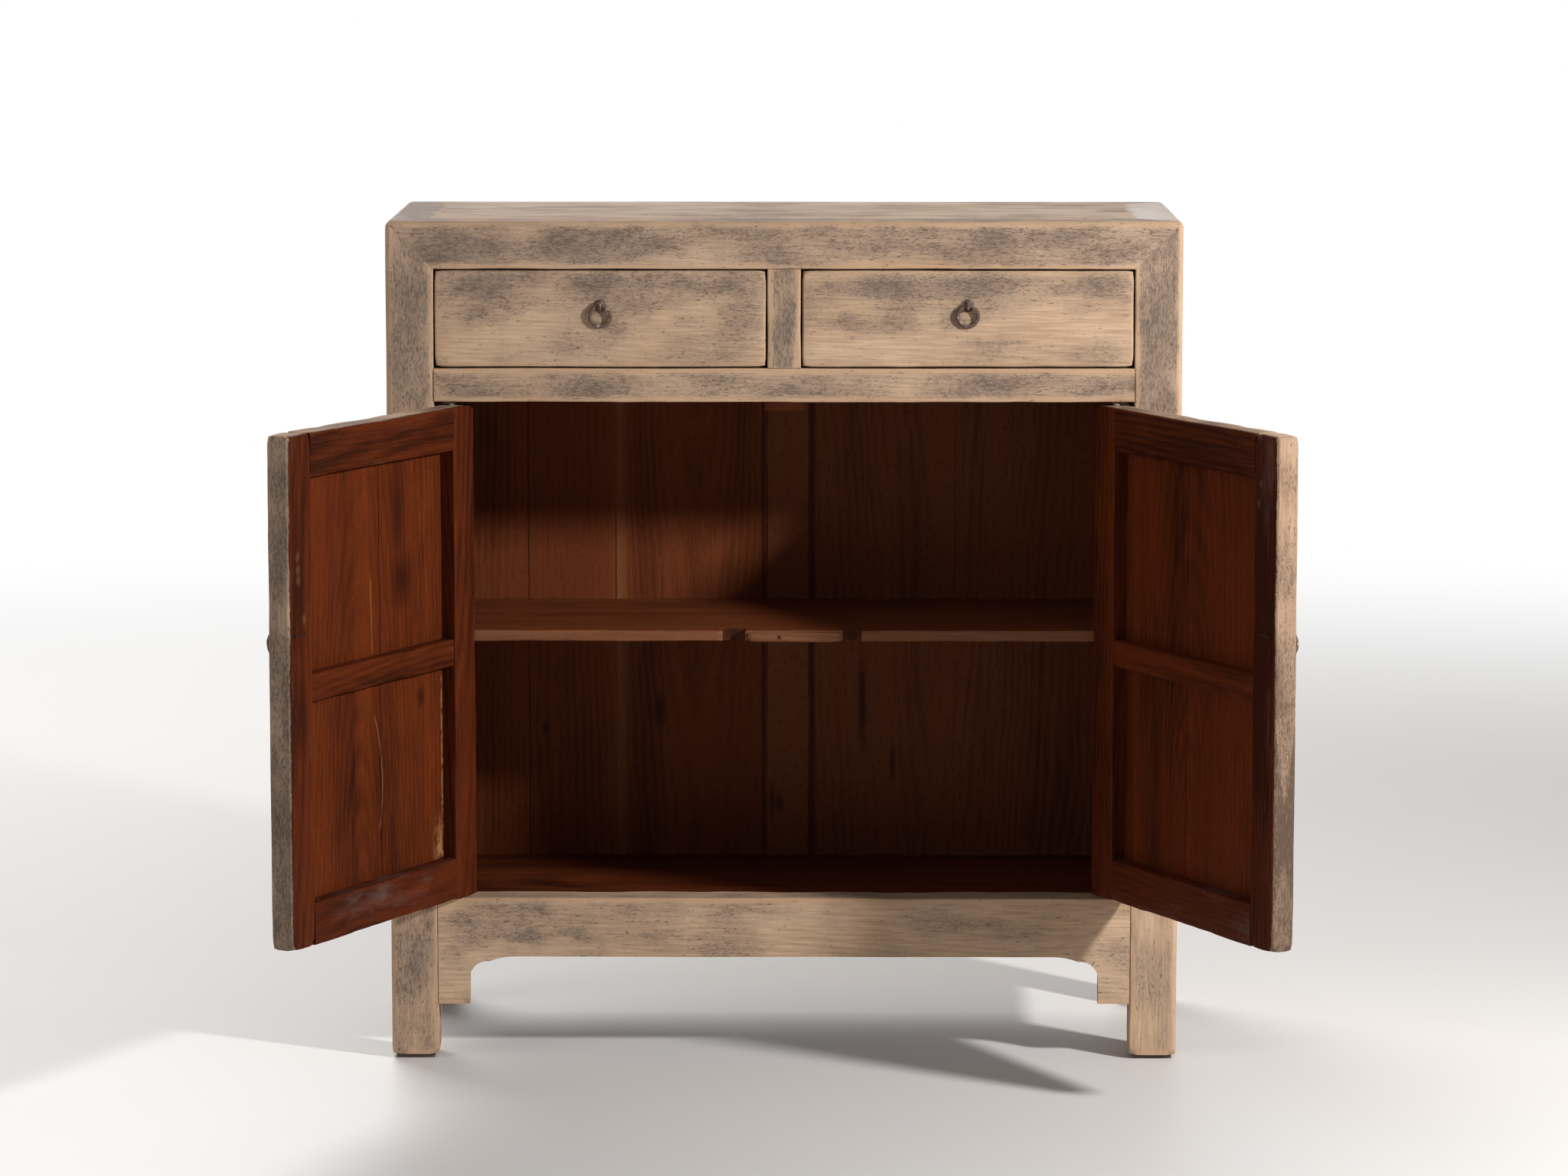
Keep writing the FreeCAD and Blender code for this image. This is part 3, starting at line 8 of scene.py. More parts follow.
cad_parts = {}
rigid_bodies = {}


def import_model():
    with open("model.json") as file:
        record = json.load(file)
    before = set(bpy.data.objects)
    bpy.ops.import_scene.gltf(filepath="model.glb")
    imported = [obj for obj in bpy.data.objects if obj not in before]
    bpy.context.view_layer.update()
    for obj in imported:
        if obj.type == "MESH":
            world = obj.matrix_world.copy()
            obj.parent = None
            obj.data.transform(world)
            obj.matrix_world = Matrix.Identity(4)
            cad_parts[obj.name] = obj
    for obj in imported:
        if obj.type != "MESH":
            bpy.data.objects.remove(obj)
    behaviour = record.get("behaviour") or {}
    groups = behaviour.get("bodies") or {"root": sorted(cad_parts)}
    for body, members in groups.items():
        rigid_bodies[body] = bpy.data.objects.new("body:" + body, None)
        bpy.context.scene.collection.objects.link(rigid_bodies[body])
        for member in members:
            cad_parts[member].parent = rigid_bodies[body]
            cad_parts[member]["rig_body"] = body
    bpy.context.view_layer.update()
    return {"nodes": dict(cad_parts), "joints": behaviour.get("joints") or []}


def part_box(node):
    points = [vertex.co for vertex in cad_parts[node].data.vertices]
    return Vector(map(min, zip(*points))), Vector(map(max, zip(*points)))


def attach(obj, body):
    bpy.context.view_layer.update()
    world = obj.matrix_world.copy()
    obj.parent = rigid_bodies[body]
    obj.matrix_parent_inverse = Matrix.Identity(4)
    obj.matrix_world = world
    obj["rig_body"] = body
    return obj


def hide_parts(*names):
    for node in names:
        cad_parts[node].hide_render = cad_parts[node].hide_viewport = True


bl_info = {
    "name": "Weathered cabinet",
    "version": (1, 0, 0),
    "blender": (4, 5, 0),
    "location": "3D View > Sidebar > Cabinet",
    "description": "Dresses a cabinet's construction frame with worn, bleached wood and forged iron",
    "category": "Object",
}

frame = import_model()
JOINTS = {joint["name"]: joint for joint in frame["joints"]}
SIDES = ("left", "right")
SAME_PLACE = 1e-6
PIVOTED = ("drawer_rail", "bottom_rail_front", "door_hinge_stile_left", "door_hinge_stile_right")
PIVOTS = [Vector(JOINTS[f"door_{side}_hinge"]["pos_m"]).xy for side in SIDES]
PIVOT_REACH = 0.006
RUNNER_DROP = 0.006
WHITE = (1, 1, 1, 1)
NOISE_SEED = 1
SEED_STEPS = (1.37, 0.71, 2.13)
FLOOR_HALF, FLOOR_FADE = 14, (1.8, 5)
WIRE_SIDES = 12

# Distance from a spot's middle at which it has faded out, in its half widths.
SPOT_EDGE = 1.9

# How bright the reflections are on each finish.
OUTSIDE_SHEEN, INSIDE_SHEEN, RAW_SHEEN = 0.25, 0.06, 0.5

# Spacing of the growth rings in each finish.
BLEACHED_RINGS, VARNISHED_RINGS, RAW_RINGS = 0.0062, 0.0085, 0.0065

# Cracks of the left door's panel: x and z of both ends, bow and half width.
UPPER_CRACK = ((0.186, 0.518), (0.189, 0.607), 0.004, 0.0014)
LOWER_CRACK = ((0.174, 0.307), (0.183, 0.443), -0.044, 0.0016)

# Without a seed, noise vectors differ from run to run.
noise.seed_set(NOISE_SEED)

POST_LOW, POST_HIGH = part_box("post_front_right")
FRONT = POST_LOW.y
INNER_X = POST_LOW.x
TOP = POST_HIGH.z
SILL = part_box("bottom_rail_front")[1].z
BACK_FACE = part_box("back_panel_left")[0].y
SIDE_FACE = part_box("side_panel_right")[0].x

# Where the shelf's raw front edge goes over into its varnish, and where the darkening at its notches ends.
SHELF_FRONT = (FRONT + 0.0405, FRONT + 0.0415)
NOTCH_DEPTH = (FRONT + 0.052, FRONT + 0.056)
NAIL_X, NAIL_Z = -0.006, 0.511

# Layers of noise: how far each is drawn out along the grain, an offset that keeps it apart from the others,
# and its scale, detail and roughness.
LAYERS = {
    "sway": (0.2, 3.1, 7, 2, 0.5),
    "waver": (0.3, 5.7, 38, 2, 0.5),
    "fibres": (0.04, 0, 560, 3, 0.62),
    "pores": (0.24, 9.4, 640, 2, 0.7),
    "weather": (0.3, 11.3, 16, 3, 0.6),
    "paint": (0.33, 21.7, 21, 3, 0.6),
    "fray": (0.3, 6.6, 70, 3, 0.5),
    "brushing": (0.24, 2.9, 430, 3, 0.75),
    "curls": (0.42, 13.1, 105, 3, 0.62),
    "varnish": (0.35, 14.2, 9, 3, 0.6),
    "bands": (0.03, 8.8, 26, 3, 0.6),
    "bloom": (0.25, 4.4, 30, 4, 0.7),
    "stain": (0.45, 17.9, 9, 3, 0.6),
    "ripple": (0.5, 1.9, 60, 2, 0.5),
    "chips": (0.4, 7.7, 190, 3, 0.7),
    "flakes": (0.5, 12.2, 120, 3, 0.7),
    "pits": (1, 0, 520, 4, 0.7),
    "rubbing": (1, 4.4, 210, 2, 0.5),
    "rust": (1, 9.1, 300, 3, 0.5),
}


def door_place(side):
    """The place of a door's own frame: X from pivot to free edge, Y into the cabinet when it is shut."""
    joint = JOINTS[f"door_{side}_hinge"]
    pivot = Vector((joint["pos_m"][0], joint["pos_m"][1], 0))
    turn = math.radians(joint["range_deg"][1])
    if side == "left":
        return Matrix.Translation(pivot) @ Matrix.Rotation(-turn, 4, "Z")
    return Matrix.Translation(pivot) @ Matrix.Rotation(turn, 4, "Z") @ Matrix.Diagonal((-1, 1, 1, 1))


STILL = Matrix.Identity(4)
DOOR_PLACES = {side: door_place(side) for side in SIDES}


def place_of(node):
    """The place of the frame that a node is square to."""
    if node.startswith("door_") and node != "door_stop":
        return DOOR_PLACES[node.rsplit("_", 1)[1]]
    return STILL


def box_in(place, *nodes):
    """Lowest and highest corner of nodes, in a place's own frame."""
    back = place.inverted()
    points = [back @ vert.co for node in nodes for vert in frame["nodes"][node].data.vertices]
    return (Vector(min(point[axis] for point in points) for axis in range(3)),
            Vector(max(point[axis] for point in points) for axis in range(3)))


DOOR_FACE_IN = box_in(DOOR_PLACES["left"], "door_lock_stile_left")[1].y
DOOR_PANEL_LOW, DOOR_PANEL_HIGH = box_in(DOOR_PLACES["left"], "door_panel_left")
DOOR_LOW, DOOR_HIGH = box_in(DOOR_PLACES["left"], "door_hinge_stile_left", "door_lock_stile_left")


# Where the paint has stayed on the front: x, z, half width and half height of each patch.
PAINT_SPOTS = {
    "post_front_left": (
        (-0.443, 0.9, 0.018, 0.06), (-0.432, 0.8, 0.013, 0.035), (-0.415, 0.985, 0.03, 0.022),
        (-0.448, 0.13, 0.018, 0.05), (-0.425, 0.172, 0.014, 0.03)),
    "post_front_right": (
        (0.443, 0.893, 0.018, 0.065), (0.44, 0.983, 0.018, 0.024), (0.452, 0.8, 0.013, 0.03)),
    "top_rail_front": (
        (-0.287, 0.986, 0.055, 0.013), (-0.154, 0.987, 0.042, 0.011), (0.0, 0.966, 0.034, 0.028),
        (-0.415, 0.985, 0.03, 0.022), (0.116, 0.983, 0.056, 0.011), (0.18, 0.98, 0.028, 0.01),
        (0.328, 0.993, 0.042, 0.008), (0.263, 0.992, 0.028, 0.013), (0.4, 0.977, 0.035, 0.01)),
    "drawer_divider": ((0.0, 0.89, 0.012, 0.05), (0.0, 0.95, 0.022, 0.02)),
    "drawer_rail": (
        (-0.392, 0.818, 0.042, 0.009), (-0.232, 0.815, 0.037, 0.01), (0.0, 0.808, 0.03, 0.006),
        (0.27, 0.817, 0.042, 0.011), (0.367, 0.811, 0.028, 0.008), (0.413, 0.821, 0.012, 0.011)),
    "drawer_front_left": (
        (-0.221, 0.934, 0.033, 0.015), (-0.196, 0.885, 0.015, 0.01), (-0.105, 0.937, 0.056, 0.008),
        (-0.166, 0.917, 0.038, 0.009), (-0.055, 0.894, 0.024, 0.014), (-0.366, 0.931, 0.024, 0.008),
        (-0.375, 0.904, 0.014, 0.014), (-0.306, 0.914, 0.024, 0.008)),
    "drawer_front_right": (
        (0.232, 0.937, 0.03, 0.018), (0.202, 0.897, 0.015, 0.01), (0.108, 0.937, 0.038, 0.01),
        (0.075, 0.89, 0.024, 0.01), (0.134, 0.89, 0.028, 0.008), (0.254, 0.87, 0.038, 0.008),
        (0.362, 0.935, 0.033, 0.01), (0.329, 0.857, 0.033, 0.006), (0.381, 0.853, 0.033, 0.011)),
    "bottom_rail_front": (
        (-0.393, 0.167, 0.024, 0.012), (-0.308, 0.18, 0.024, 0.006), (-0.314, 0.151, 0.027, 0.006),
        (-0.382, 0.149, 0.024, 0.012), (-0.141, 0.151, 0.034, 0.006), (-0.241, 0.152, 0.03, 0.008),
        (-0.4, 0.131, 0.015, 0.012)),
}
# Knots, joints, dark patches and painted shade in the gaps beside the back stile, of varnished wood, on a
# door in the door's own frame.
DARK_SPOTS = {
    "back_panel_left": (
        (-0.1587, 0.375, 0.006, 0.018), (-0.302, 0.353, 0.004, 0.008), (-0.3227, 0.5, 0.0008, 3),
        # Painted shade in the gap beside the back stile.
        (-0.0275, 0.5, 0.002, 3)),
    "back_panel_right": (
        (0.0968, 0.365, 0.0018, 0.03), (0.0968, 0.39, 0.005, 0.05), (0.135, 0.31, 0.003, 0.02),
        # Painted shade in the gap beside the back stile.
        (0.0335, 0.5, 0.0035, 3)),
    "back_stile": ((-0.0079, 0.258, 0.005, 0.011), (-0.017, 0.262, 0.003, 0.02)),
    "shelf": ((-0.061, 0.512, 0.014, 0.03), (0.082, 0.512, 0.012, 0.03)),
    "door_lock_stile_left": ((0.378, 0.62, 0.012, 0.07), (0.372, 0.474, 0.01, 0.04)),
    "door_lock_stile_right": ((0.3615, 0.6, 0.014, 0.2),),
    "door_hinge_stile_right": ((-0.0102, 0.616, 0.003, 0.012),),
    "door_panel_left": ((0.127, 0.68, 0.014, 0.05), (0.12, 0.6, 0.02, 0.03), (0.078, 0.452, 0.008, 0.01)),
}
# Chips and a pale streak of varnished wood, on a door in the door's own frame.
PALE_SPOTS = {
    "back_panel_left": ((-0.2076, 0.5, 0.0065, 3),),
    "door_lock_stile_left": (
        (0.378, 0.655, 0.0035, 0.005), (0.377, 0.64, 0.0035, 0.005), (0.376, 0.628, 0.0035, 0.005),
        (0.365, 0.582, 0.003, 0.005)),
    "door_lock_stile_right": ((0.361, 0.7386, 0.0025, 0.004), (0.3575, 0.716, 0.002, 0.004)),
}


def colour_setting(name, description, red, green, blue):
    """A colour that a user may change."""
    return FloatVectorProperty(
        name=name, description=description, subtype="COLOR", size=4, default=(red, green, blue, 1))


def length_setting(name, description, default):
    """A length that a user may change."""
    return FloatProperty(name=name, description=description, default=default, unit="LENGTH", precision=5)


def level_setting(name, description, default):
    """A brightness that a user may change."""
    return FloatProperty(name=name, description=description, default=default, min=0, precision=3)


def place_setting(name, description, default):
    """A place that a user may change."""
    return FloatVectorProperty(name=name, description=description, default=default, subtype="TRANSLATION")


class CabinetColours(bpy.types.PropertyGroup):
    """Colours of the wood, the paint and the iron."""
    bleached_light: colour_setting("Bleached light", "Early wood outside", 0.53, 0.356, 0.222)
    bleached_dark: colour_setting("Bleached dark", "Late wood outside", 0.29, 0.18, 0.108)
    # Weathered grey, which on the top also stands for painted sheen and painted light.
    weathered_grey_and_sheen: colour_setting("Weathered grey", "Greyed patches outside", 0.61, 0.55, 0.50)
    paint: colour_setting("Paint", "Remains of the dark paint", 0.094, 0.066, 0.050)
    haze: colour_setting("Haze", "Thin film of paint between its thicker remains", 0.235, 0.168, 0.124)
    worn_edge: colour_setting("Worn edge", "Edges rubbed to warm wood", 0.47, 0.29, 0.17)
    varnish_light: colour_setting("Varnish light", "Varnished wood where it is lightest", 0.14, 0.027, 0.0052)
    varnish_dark: colour_setting("Varnish dark", "Varnished wood where it is darkest", 0.025, 0.0052, 0.0022)
    varnish_red: colour_setting("Varnish red", "Redder patches of the varnish", 0.062, 0.0095, 0.0035)
    flaked: colour_setting("Flaked", "Pale wood where the varnish has come off", 0.40, 0.205, 0.085)
    varnish_brown: colour_setting(
        "Varnish brown", "Thin brown varnish at the back of the cabinet", 0.185, 0.057, 0.023)
    # Painted shade: darkens the right door's free edge, which the key lamp lights most squarely.
    painted_edge_shade: colour_setting(
        "Painted edge shade", "Shade over the free edge of the door that most light falls on", 0.75, 0.69, 0.645)
    dust: colour_setting("Dust", "Dull bloom on old varnish", 0.135, 0.083, 0.066)
    raw: colour_setting("Raw wood", "Wood that was never finished", 0.38, 0.24, 0.14)
    iron: colour_setting("Iron", "Forged iron", 0.10, 0.062, 0.046)
    iron_worn: colour_setting("Worn iron", "Iron rubbed bright", 0.38, 0.29, 0.225)
    pad: colour_setting("Pad", "Pads under the posts", 0.05, 0.047, 0.045)
    floor: colour_setting("Floor", "Studio floor", 0.66, 0.635, 0.615)


class CabinetWear(bpy.types.PropertyGroup):
    """How far use and weather have changed the wood."""
    grid_along: length_setting("Grid along", "Spacing of the mesh along a piece", 0.009)
    grid_across: length_setting("Grid across", "Spacing of the mesh across a piece", 0.012)
    wave: length_setting("Wave", "How far a planed face strays from flat", 0.00035)
    rub: length_setting("Rub", "Most that an edge is rubbed back", 0.0011)
    corner_rub: length_setting("Corner rub", "Most that a corner is rubbed back beyond its edges", 0.0016)
    rub_reach: length_setting("Rub reach", "How far from the edge it is rubbed", 0.007)
    grain_depth: length_setting("Grain depth", "Relief of the grain", 0.00035)


class CabinetPulls(bpy.types.PropertyGroup):
    """Sizes of the forged pulls."""
    ring_wire: length_setting("Ring wire", "Radius of a ring's wire", 0.0024)
    ring_steps: IntProperty(name="Ring steps", description="Facets round a ring", default=48)
    hammering: length_setting("Hammering", "How uneven the iron is", 0.0003)


class CabinetStudio(bpy.types.PropertyGroup):
    """Camera and lamps."""
    lens: FloatProperty(name="Lens", description="Focal length in millimetres", default=127.69)
    camera_place: place_setting(
        "Camera", "Where the camera stands", (0.03541, FRONT - 6.60721, 1.45494))
    camera_aim: FloatVectorProperty(
        name="Aim", description="Which way the camera looks", subtype="DIRECTION",
        default=(-0.00531, 0.99125, -0.13192))
    camera_roll: FloatProperty(
        name="Roll", description="How far the camera leans", default=math.radians(0.013), subtype="ANGLE")
    key_place: place_setting("Key place", "Where the main lamp stands", (2.18, -1.5, 1.68))
    key_size: length_setting("Key size", "Width of the main lamp", 0.24)
    key_level: level_setting("Key", "Brightness of the main lamp on a face turned to it", 1.2)
    fill_place: place_setting("Fill place", "Where the lamp at the other side stands", (-3.8, -2.0, 1.7))
    fill_level: level_setting("Fill", "Brightness of the lamp at the other side", 0.24)
    back_place: place_setting("Back place", "Where the lamp behind stands", (-1.7, 3.2, 2.9))
    back_level: level_setting("Back", "Brightness of the lamp behind", 0.7)
    soft_size: length_setting("Soft size", "Width of the lamps at the side and behind", 2.6)
    sky_level: level_setting("Sky", "Brightness that comes from everywhere", 0.13)


class Number:
    """A number that varies over a surface. Python's operators on it add Math nodes."""

    def __init__(self, finish, socket):
        self.finish = finish
        self.socket = socket

    def math(self, operation, *others, clamp=False):
        """This number and others through one Math node."""
        sockets = {index: value for index, value in enumerate((self, *others))}
        node = self.finish.node("ShaderNodeMath", {"operation": operation, "use_clamp": clamp}, sockets)
        return Number(self.finish, node.outputs[0])

    def __add__(self, other):
        return self.math("ADD", other)

    def __sub__(self, other):
        return self.math("SUBTRACT", other)

    def __rsub__(self, other):
        return self.math("MULTIPLY_ADD", -1, other)

    def __mul__(self, other):
        return self.math("MULTIPLY", other)

    def __truediv__(self, other):
        return self.math("DIVIDE", other)

    __radd__ = __add__
    __rmul__ = __mul__

    def __abs__(self):
        return self.math("ABSOLUTE")

    def least(self, other):
        """The smaller of two numbers."""
        return self.math("MINIMUM", other)

    def most(self, other):
        """The larger of two numbers."""
        return self.math("MAXIMUM", other)

    def clamped(self):
        """This number held between 0 and 1."""
        return self.math("MULTIPLY", 1, clamp=True)

    def rise(self, low, high):
        """0 below low, 1 above high, and a smooth rise between them."""
        node = self.finish.node(
            "ShaderNodeMapRange", {"interpolation_type": "SMOOTHSTEP"},
            {"Value": self, "From Min": low, "From Max": high})
        return Number(self.finish, node.outputs["Result"])

    def between(self, low, high, blur=0.0004):
        """1 between low and high, with blurred ends."""
        return self.rise(low - blur, low + blur) * (1 - self.rise(high - blur, high + blur))


class Nodes:
    """A node tree that is filled from nothing."""

    def __init__(self, owner):
        owner.use_nodes = True
        self.tree = owner.node_tree
        self.tree.nodes.clear()

    def node(self, kind, settings=None, sockets=None):
        """Add a node, set it, and then fill or link its sockets."""
        node = self.tree.nodes.new(kind)
        for name, value in (settings or {}).items():
            setattr(node, name, value)
        for key, value in (sockets or {}).items():
            if isinstance(value, Number):
                value = value.socket
            if isinstance(value, bpy.types.NodeSocket):
                self.tree.links.new(value, node.inputs[key])
            else:
                node.inputs[key].default_value = value
        return node

    def seen(self):
        """1 for what is seen straight, in a reflection or through glass, and 0 for light on the object."""
        rays = self.node("ShaderNodeLightPath").outputs
        straight, glossy, through = (
            Number(self, rays[f"Is {ray} Ray"]) for ray in ("Camera", "Glossy", "Transmission"))
        return straight.most(glossy).most(through)


class Finish(Nodes):
    """A node material that reads its object's coordinates in the frame of a place."""

    def __init__(self, name, place=STILL, seed=0):
        self.material = bpy.data.materials.new(name)
        super().__init__(self.material)
        location, turn, size = place.decompose()
        if place.determinant() < 0:
            turn = (place @ Matrix.Diagonal((-1, 1, 1, 1))).to_quaternion()
            size = Vector((-1, 1, 1))
        self.point = self.node(
            "ShaderNodeMapping", {"vector_type": "TEXTURE"},
            {"Vector": self.node("ShaderNodeTexCoord").outputs["Object"], "Location": location,
             "Rotation": turn.to_euler(), "Scale": size}).outputs["Vector"]
        parts = self.node("ShaderNodeSeparateXYZ", {}, {"Vector": self.point})
        self.x, self.y, self.z = (Number(self, socket) for socket in parts.outputs)
        self.seed = Vector([seed * step for step in SEED_STEPS])

    def vector(self, operation, first, second):
        """Two vectors through one Vector Math node."""
        node = self.node("ShaderNodeVectorMath", {"operation": operation}, {0: first, 1: second})
        return node.outputs["Vector"]

    def mix(self, share, first, second):
        """A colour that goes from the first to the second with the share."""
        node = self.node(
            "ShaderNodeMix", {"data_type": "RGBA", "clamp_factor": True}, {0: share, 6: first, 7: second})
        return node.outputs[2]

    def noise(self, point, scale, detail=2, roughness=0.5):
        """Even noise from 0 to 1."""
        node = self.node(
            "ShaderNodeTexNoise", {},
            {"Vector": point, "Scale": scale, "Detail": detail, "Roughness": roughness})
        return Number(self, node.outputs["Fac"])

    def layer(self, name, grain="z"):
        """A layer of noise by its name, moved by the seed and drawn out along the grain."""
        share, offset, scale, detail, roughness = LAYERS[name]
        stretch = Vector((1, 1, 1))
        stretch["xyz".index(grain)] = share
        moved = self.vector("ADD", self.point, self.seed + Vector((offset, offset, offset)))
        return self.noise(self.vector("MULTIPLY", moved, stretch), scale, detail, roughness)

    def edge_reach(self, low, high):
        """Distance from the nearest edge of a box, on the box's surface."""
        first, second, third = (
            (here - low[axis]).least(high[axis] - here)
            for axis, here in enumerate((self.x, self.y, self.z)))
        return first.least(second).most(first.most(second).least(third))

    def done(self, colour, roughness, height, depth, sheen, metallic=0.0):
        """Close the material with its colour, roughness and relief."""
        bump = self.node("ShaderNodeBump", {}, {"Strength": 1.0, "Distance": depth, "Height": height})
        shader = self.node(
            "ShaderNodeBsdfPrincipled", {},
            {"Base Color": colour, "Roughness": roughness, "Metallic": metallic,
             "Specular IOR Level": sheen, "Normal": bump.outputs["Normal"]})
        self.node("ShaderNodeOutputMaterial", {}, {"Surface": shader.outputs["BSDF"]})
        return self.material


class Look:
    """Colour, roughness and relief of one finish, before it is closed."""

    def __init__(self, colour, roughness, height):
        self.colour = colour
        self.roughness = roughness
        self.height = height

    def over(self, finish, share, other):
        """This look where the share is 0, and the other where it is 1."""
        return Look(
            finish.mix(share, self.colour, other.colour),
            self.roughness + share * (other.roughness - self.roughness),
            self.height + share * (other.height - self.height))


def wood_relief(finish, grain, heart, spacing):
    """Growth rings, long fibres and short pores of a board: three numbers from 0 to 1."""
    *spots, tilt = heart
    across = [axis for axis in "xyz" if axis != grain]
    sway = finish.layer("sway", grain)
    waver = finish.layer("waver", grain)
    first, second = (getattr(finish, axis) - spot for axis, spot in zip(across, spots))
    second = second + getattr(finish, grain) * tilt
    radius = (first * first + second * second).math("SQRT") + sway * 0.06 + waver * 0.005
    rings = (radius * (2 * math.pi / spacing)).math("SINE") * 0.5 + 0.5
    fibres = finish.layer("fibres", grain)
    pores = finish.layer("pores", grain)
    return rings, fibres, pores


def heart_of(node, grain, depth=0.11, tilt=0.05):
    """A line beside a board that its rings run round: its place across the board, and its slope along it."""
    low, high = box_in(place_of(node), node)
    middle = (low + high) / 2
    across = [axis for axis in range(3) if axis != "xyz".index(grain)]
    spread = sum(ord(letter) for letter in node)
    lean = ((spread % 7) - 3) / 3
    return (middle[across[0]] + depth * lean, middle[across[1]] + depth * (1.1 - abs(lean) / 2), tilt)


def near_spots(finish, spots, stray=1.0):
    """1 at the middle of each spot and 0 away from all of them; stray says how ragged they are."""
    warp = finish.node(
        "ShaderNodeTexNoise", {}, {"Vector": finish.point, "Scale": 34, "Detail": 2}).outputs["Color"]
    warp = finish.vector("SUBTRACT", warp, (0.5, 0.5, 0.5))
    warp = finish.vector("MULTIPLY", warp, (0.05 * stray, 0, 0.03 * stray))
    point = finish.vector("ADD", finish.point, warp)
    near = 0
    for x, z, width, height in spots:
        away = finish.vector("SUBTRACT", point, (x, 0, z))
        away = finish.vector("MULTIPLY", away, (1 / width, 0, 1 / height))
        length = finish.node("ShaderNodeVectorMath", {"operation": "LENGTH"}, {0: away})
        near = (1 - Number(finish, length.outputs["Value"]).rise(0, SPOT_EDGE)).most(near)
    return near


def bleached(finish, grain, heart, colours, paint=0.5, reach=None, grey=0.3, spots=(), rub=1.0):
    """Dry bleached elm, with remains of dark paint in its grain; rub says how bare and warm its edges are."""
    rings, fibres, pores = wood_relief(finish, grain, heart, BLEACHED_RINGS)
    cloud = finish.layer("weather", grain)
    tone = (fibres - 0.5) * 2.0 + (rings - 0.5) * 0.2 + (cloud - 0.5) * 0.9 + 0.66
    wood = finish.mix(tone.clamped(), colours.bleached_dark, colours.bleached_light)
    # Weathered grey; where its share is large, as on the top, it is also painted sheen.
    wood = finish.mix(cloud.rise(0.15, 0.85) * grey, wood, colours.weathered_grey_and_sheen)
    cover = finish.layer("paint", grain)
    spread = finish.noise(finish.point, 11, 2)
    cover = (cover - 0.5) * 2.6 + (spread - 0.5) * 2.4 + paint
    if spots:
        cover = cover * 0.85 + near_spots(finish, spots) * 0.5
    cover = cover.most(0)
    if reach is not None:
        fray = finish.layer("fray", grain)
        bare = (1 - (reach - fray * 0.012).rise(-0.004, 0.004)) * rub
        cover = cover * (1 - bare * 0.85)
        wood = finish.mix(bare * 0.55, wood, colours.worn_edge)
    brushed = finish.layer("brushing", grain)
    left = (brushed - 0.5) * 2.5 + (0.5 - pores) * 1.7 + (0.5 - fibres) * 0.4
    held = (left + cover * 0.36 - 0.345).rise(0, 0.34)
    film = cover * 0.75 + cover.least(1) * (0.5 - brushed) * 2.4
    colour = finish.mix(film.clamped(), wood, colours.haze)
    curls = finish.layer("curls", grain)
    curls = (1 - abs(curls - 0.5).rise(0.004, 0.03)) * cover.rise(0.1, 0.9)
    colour = finish.mix(held.most(curls * 0.75) * 0.8, colour, colours.paint)
    height = rings * 0.12 + fibres * 0.55 + pores * 0.3 + held * 0.1
    return Look(colour, 0.85 - held * 0.15, height)


def varnished(finish, grain, heart, colours, depth=0.5, dust=0.0, brown=0.0, figure=0.25):
    """Old varnish on elm; depth says how dark, dust how dull, brown how thin, figure how clear its rings."""
    rings, fibres, pores = wood_relief(finish, grain, heart, VARNISHED_RINGS)
    cloud = finish.layer("varnish", grain)
    bands = finish.layer("bands", grain)
    tone = (rings - 0.5) * figure + (fibres - 0.5) * 1.2 + (bands - 0.5) * 1.2 + (cloud - 0.5) * 1.4
    light = finish.mix(brown, colours.varnish_light, colours.varnish_brown)
    wood = finish.mix((tone + (1 - depth)).clamped(), colours.varnish_dark, light)
    wood = finish.mix(cloud.rise(0.45, 0.7) * (0.4 * (1 - brown)), wood, colours.varnish_red)
    dull = finish.layer("bloom", grain)
    bloom = (dull + dust - 0.78).rise(-0.05, 0.3)
    colour = finish.mix(bloom * 0.75, wood, colours.dust)
    colour = finish.mix((0.5 - pores).rise(0.05, 0.2) * 0.5, colour, colours.varnish_dark)
    return Look(colour, 0.5 + fibres * 0.1 + bloom * 0.25, rings * 0.1 + fibres * 0.3 + pores * 0.15)


def raw(finish, grain, heart, colours, age=0.4):
    """Wood that was planed and left as it was."""
    rings, fibres, pores = wood_relief(finish, grain, heart, RAW_RINGS)
    cloud = finish.layer("stain", grain)
    tone = (rings - 0.5) * 0.5 + (fibres - 0.5) * 1.3 + (cloud - 0.5) * 0.8 + 0.55
    dark = finish.mix(0.5, colours.raw, colours.varnish_dark)
    wood = finish.mix(tone.clamped(), dark, colours.raw)
    stain = cloud.rise(0.42, 0.7) * age
    colour = finish.mix(stain, wood, finish.mix(0.6, colours.raw, colours.paint))
    return Look(colour, 0.8 + fibres * 0.1, rings * 0.3 + fibres * 0.5 + pores * 0.2)


def rubbed(finish, grain, heart, colours):
    """Varnish that hands have worn half off."""
    return varnished(finish, grain, heart, colours, 0.1, 0, 0.6).over(
        finish, 0.22, raw(finish, grain, heart, colours, 0.2))


def marked(finish, node, colour, colours):
    """A varnished colour with the knots, joints, chips and painted shade in the gaps of one node."""
    for table, stray, share, shade in (
            (DARK_SPOTS, 0.05, 0.85, colours.varnish_dark), (PALE_SPOTS, 0.1, 0.18, colours.flaked)):
        if node in table:
            colour = finish.mix(near_spots(finish, table[node], stray) * share, colour, shade)
    return colour


def crack(finish, start, end, bow, width):
    """A thin line along Z that bows a little, between two places (x, z) of a door panel."""
    run = finish.z.between(start[1], end[1], 0.004)
    share = (finish.z - start[1]) / (end[1] - start[1])
    middle = share * (end[0] - start[0]) + start[0] + share * (1 - share) * bow
    ripple = (finish.layer("ripple") - 0.5) * 0.0012
    return run * (1 - abs(finish.x - middle - ripple).rise(width * 0.4, width))


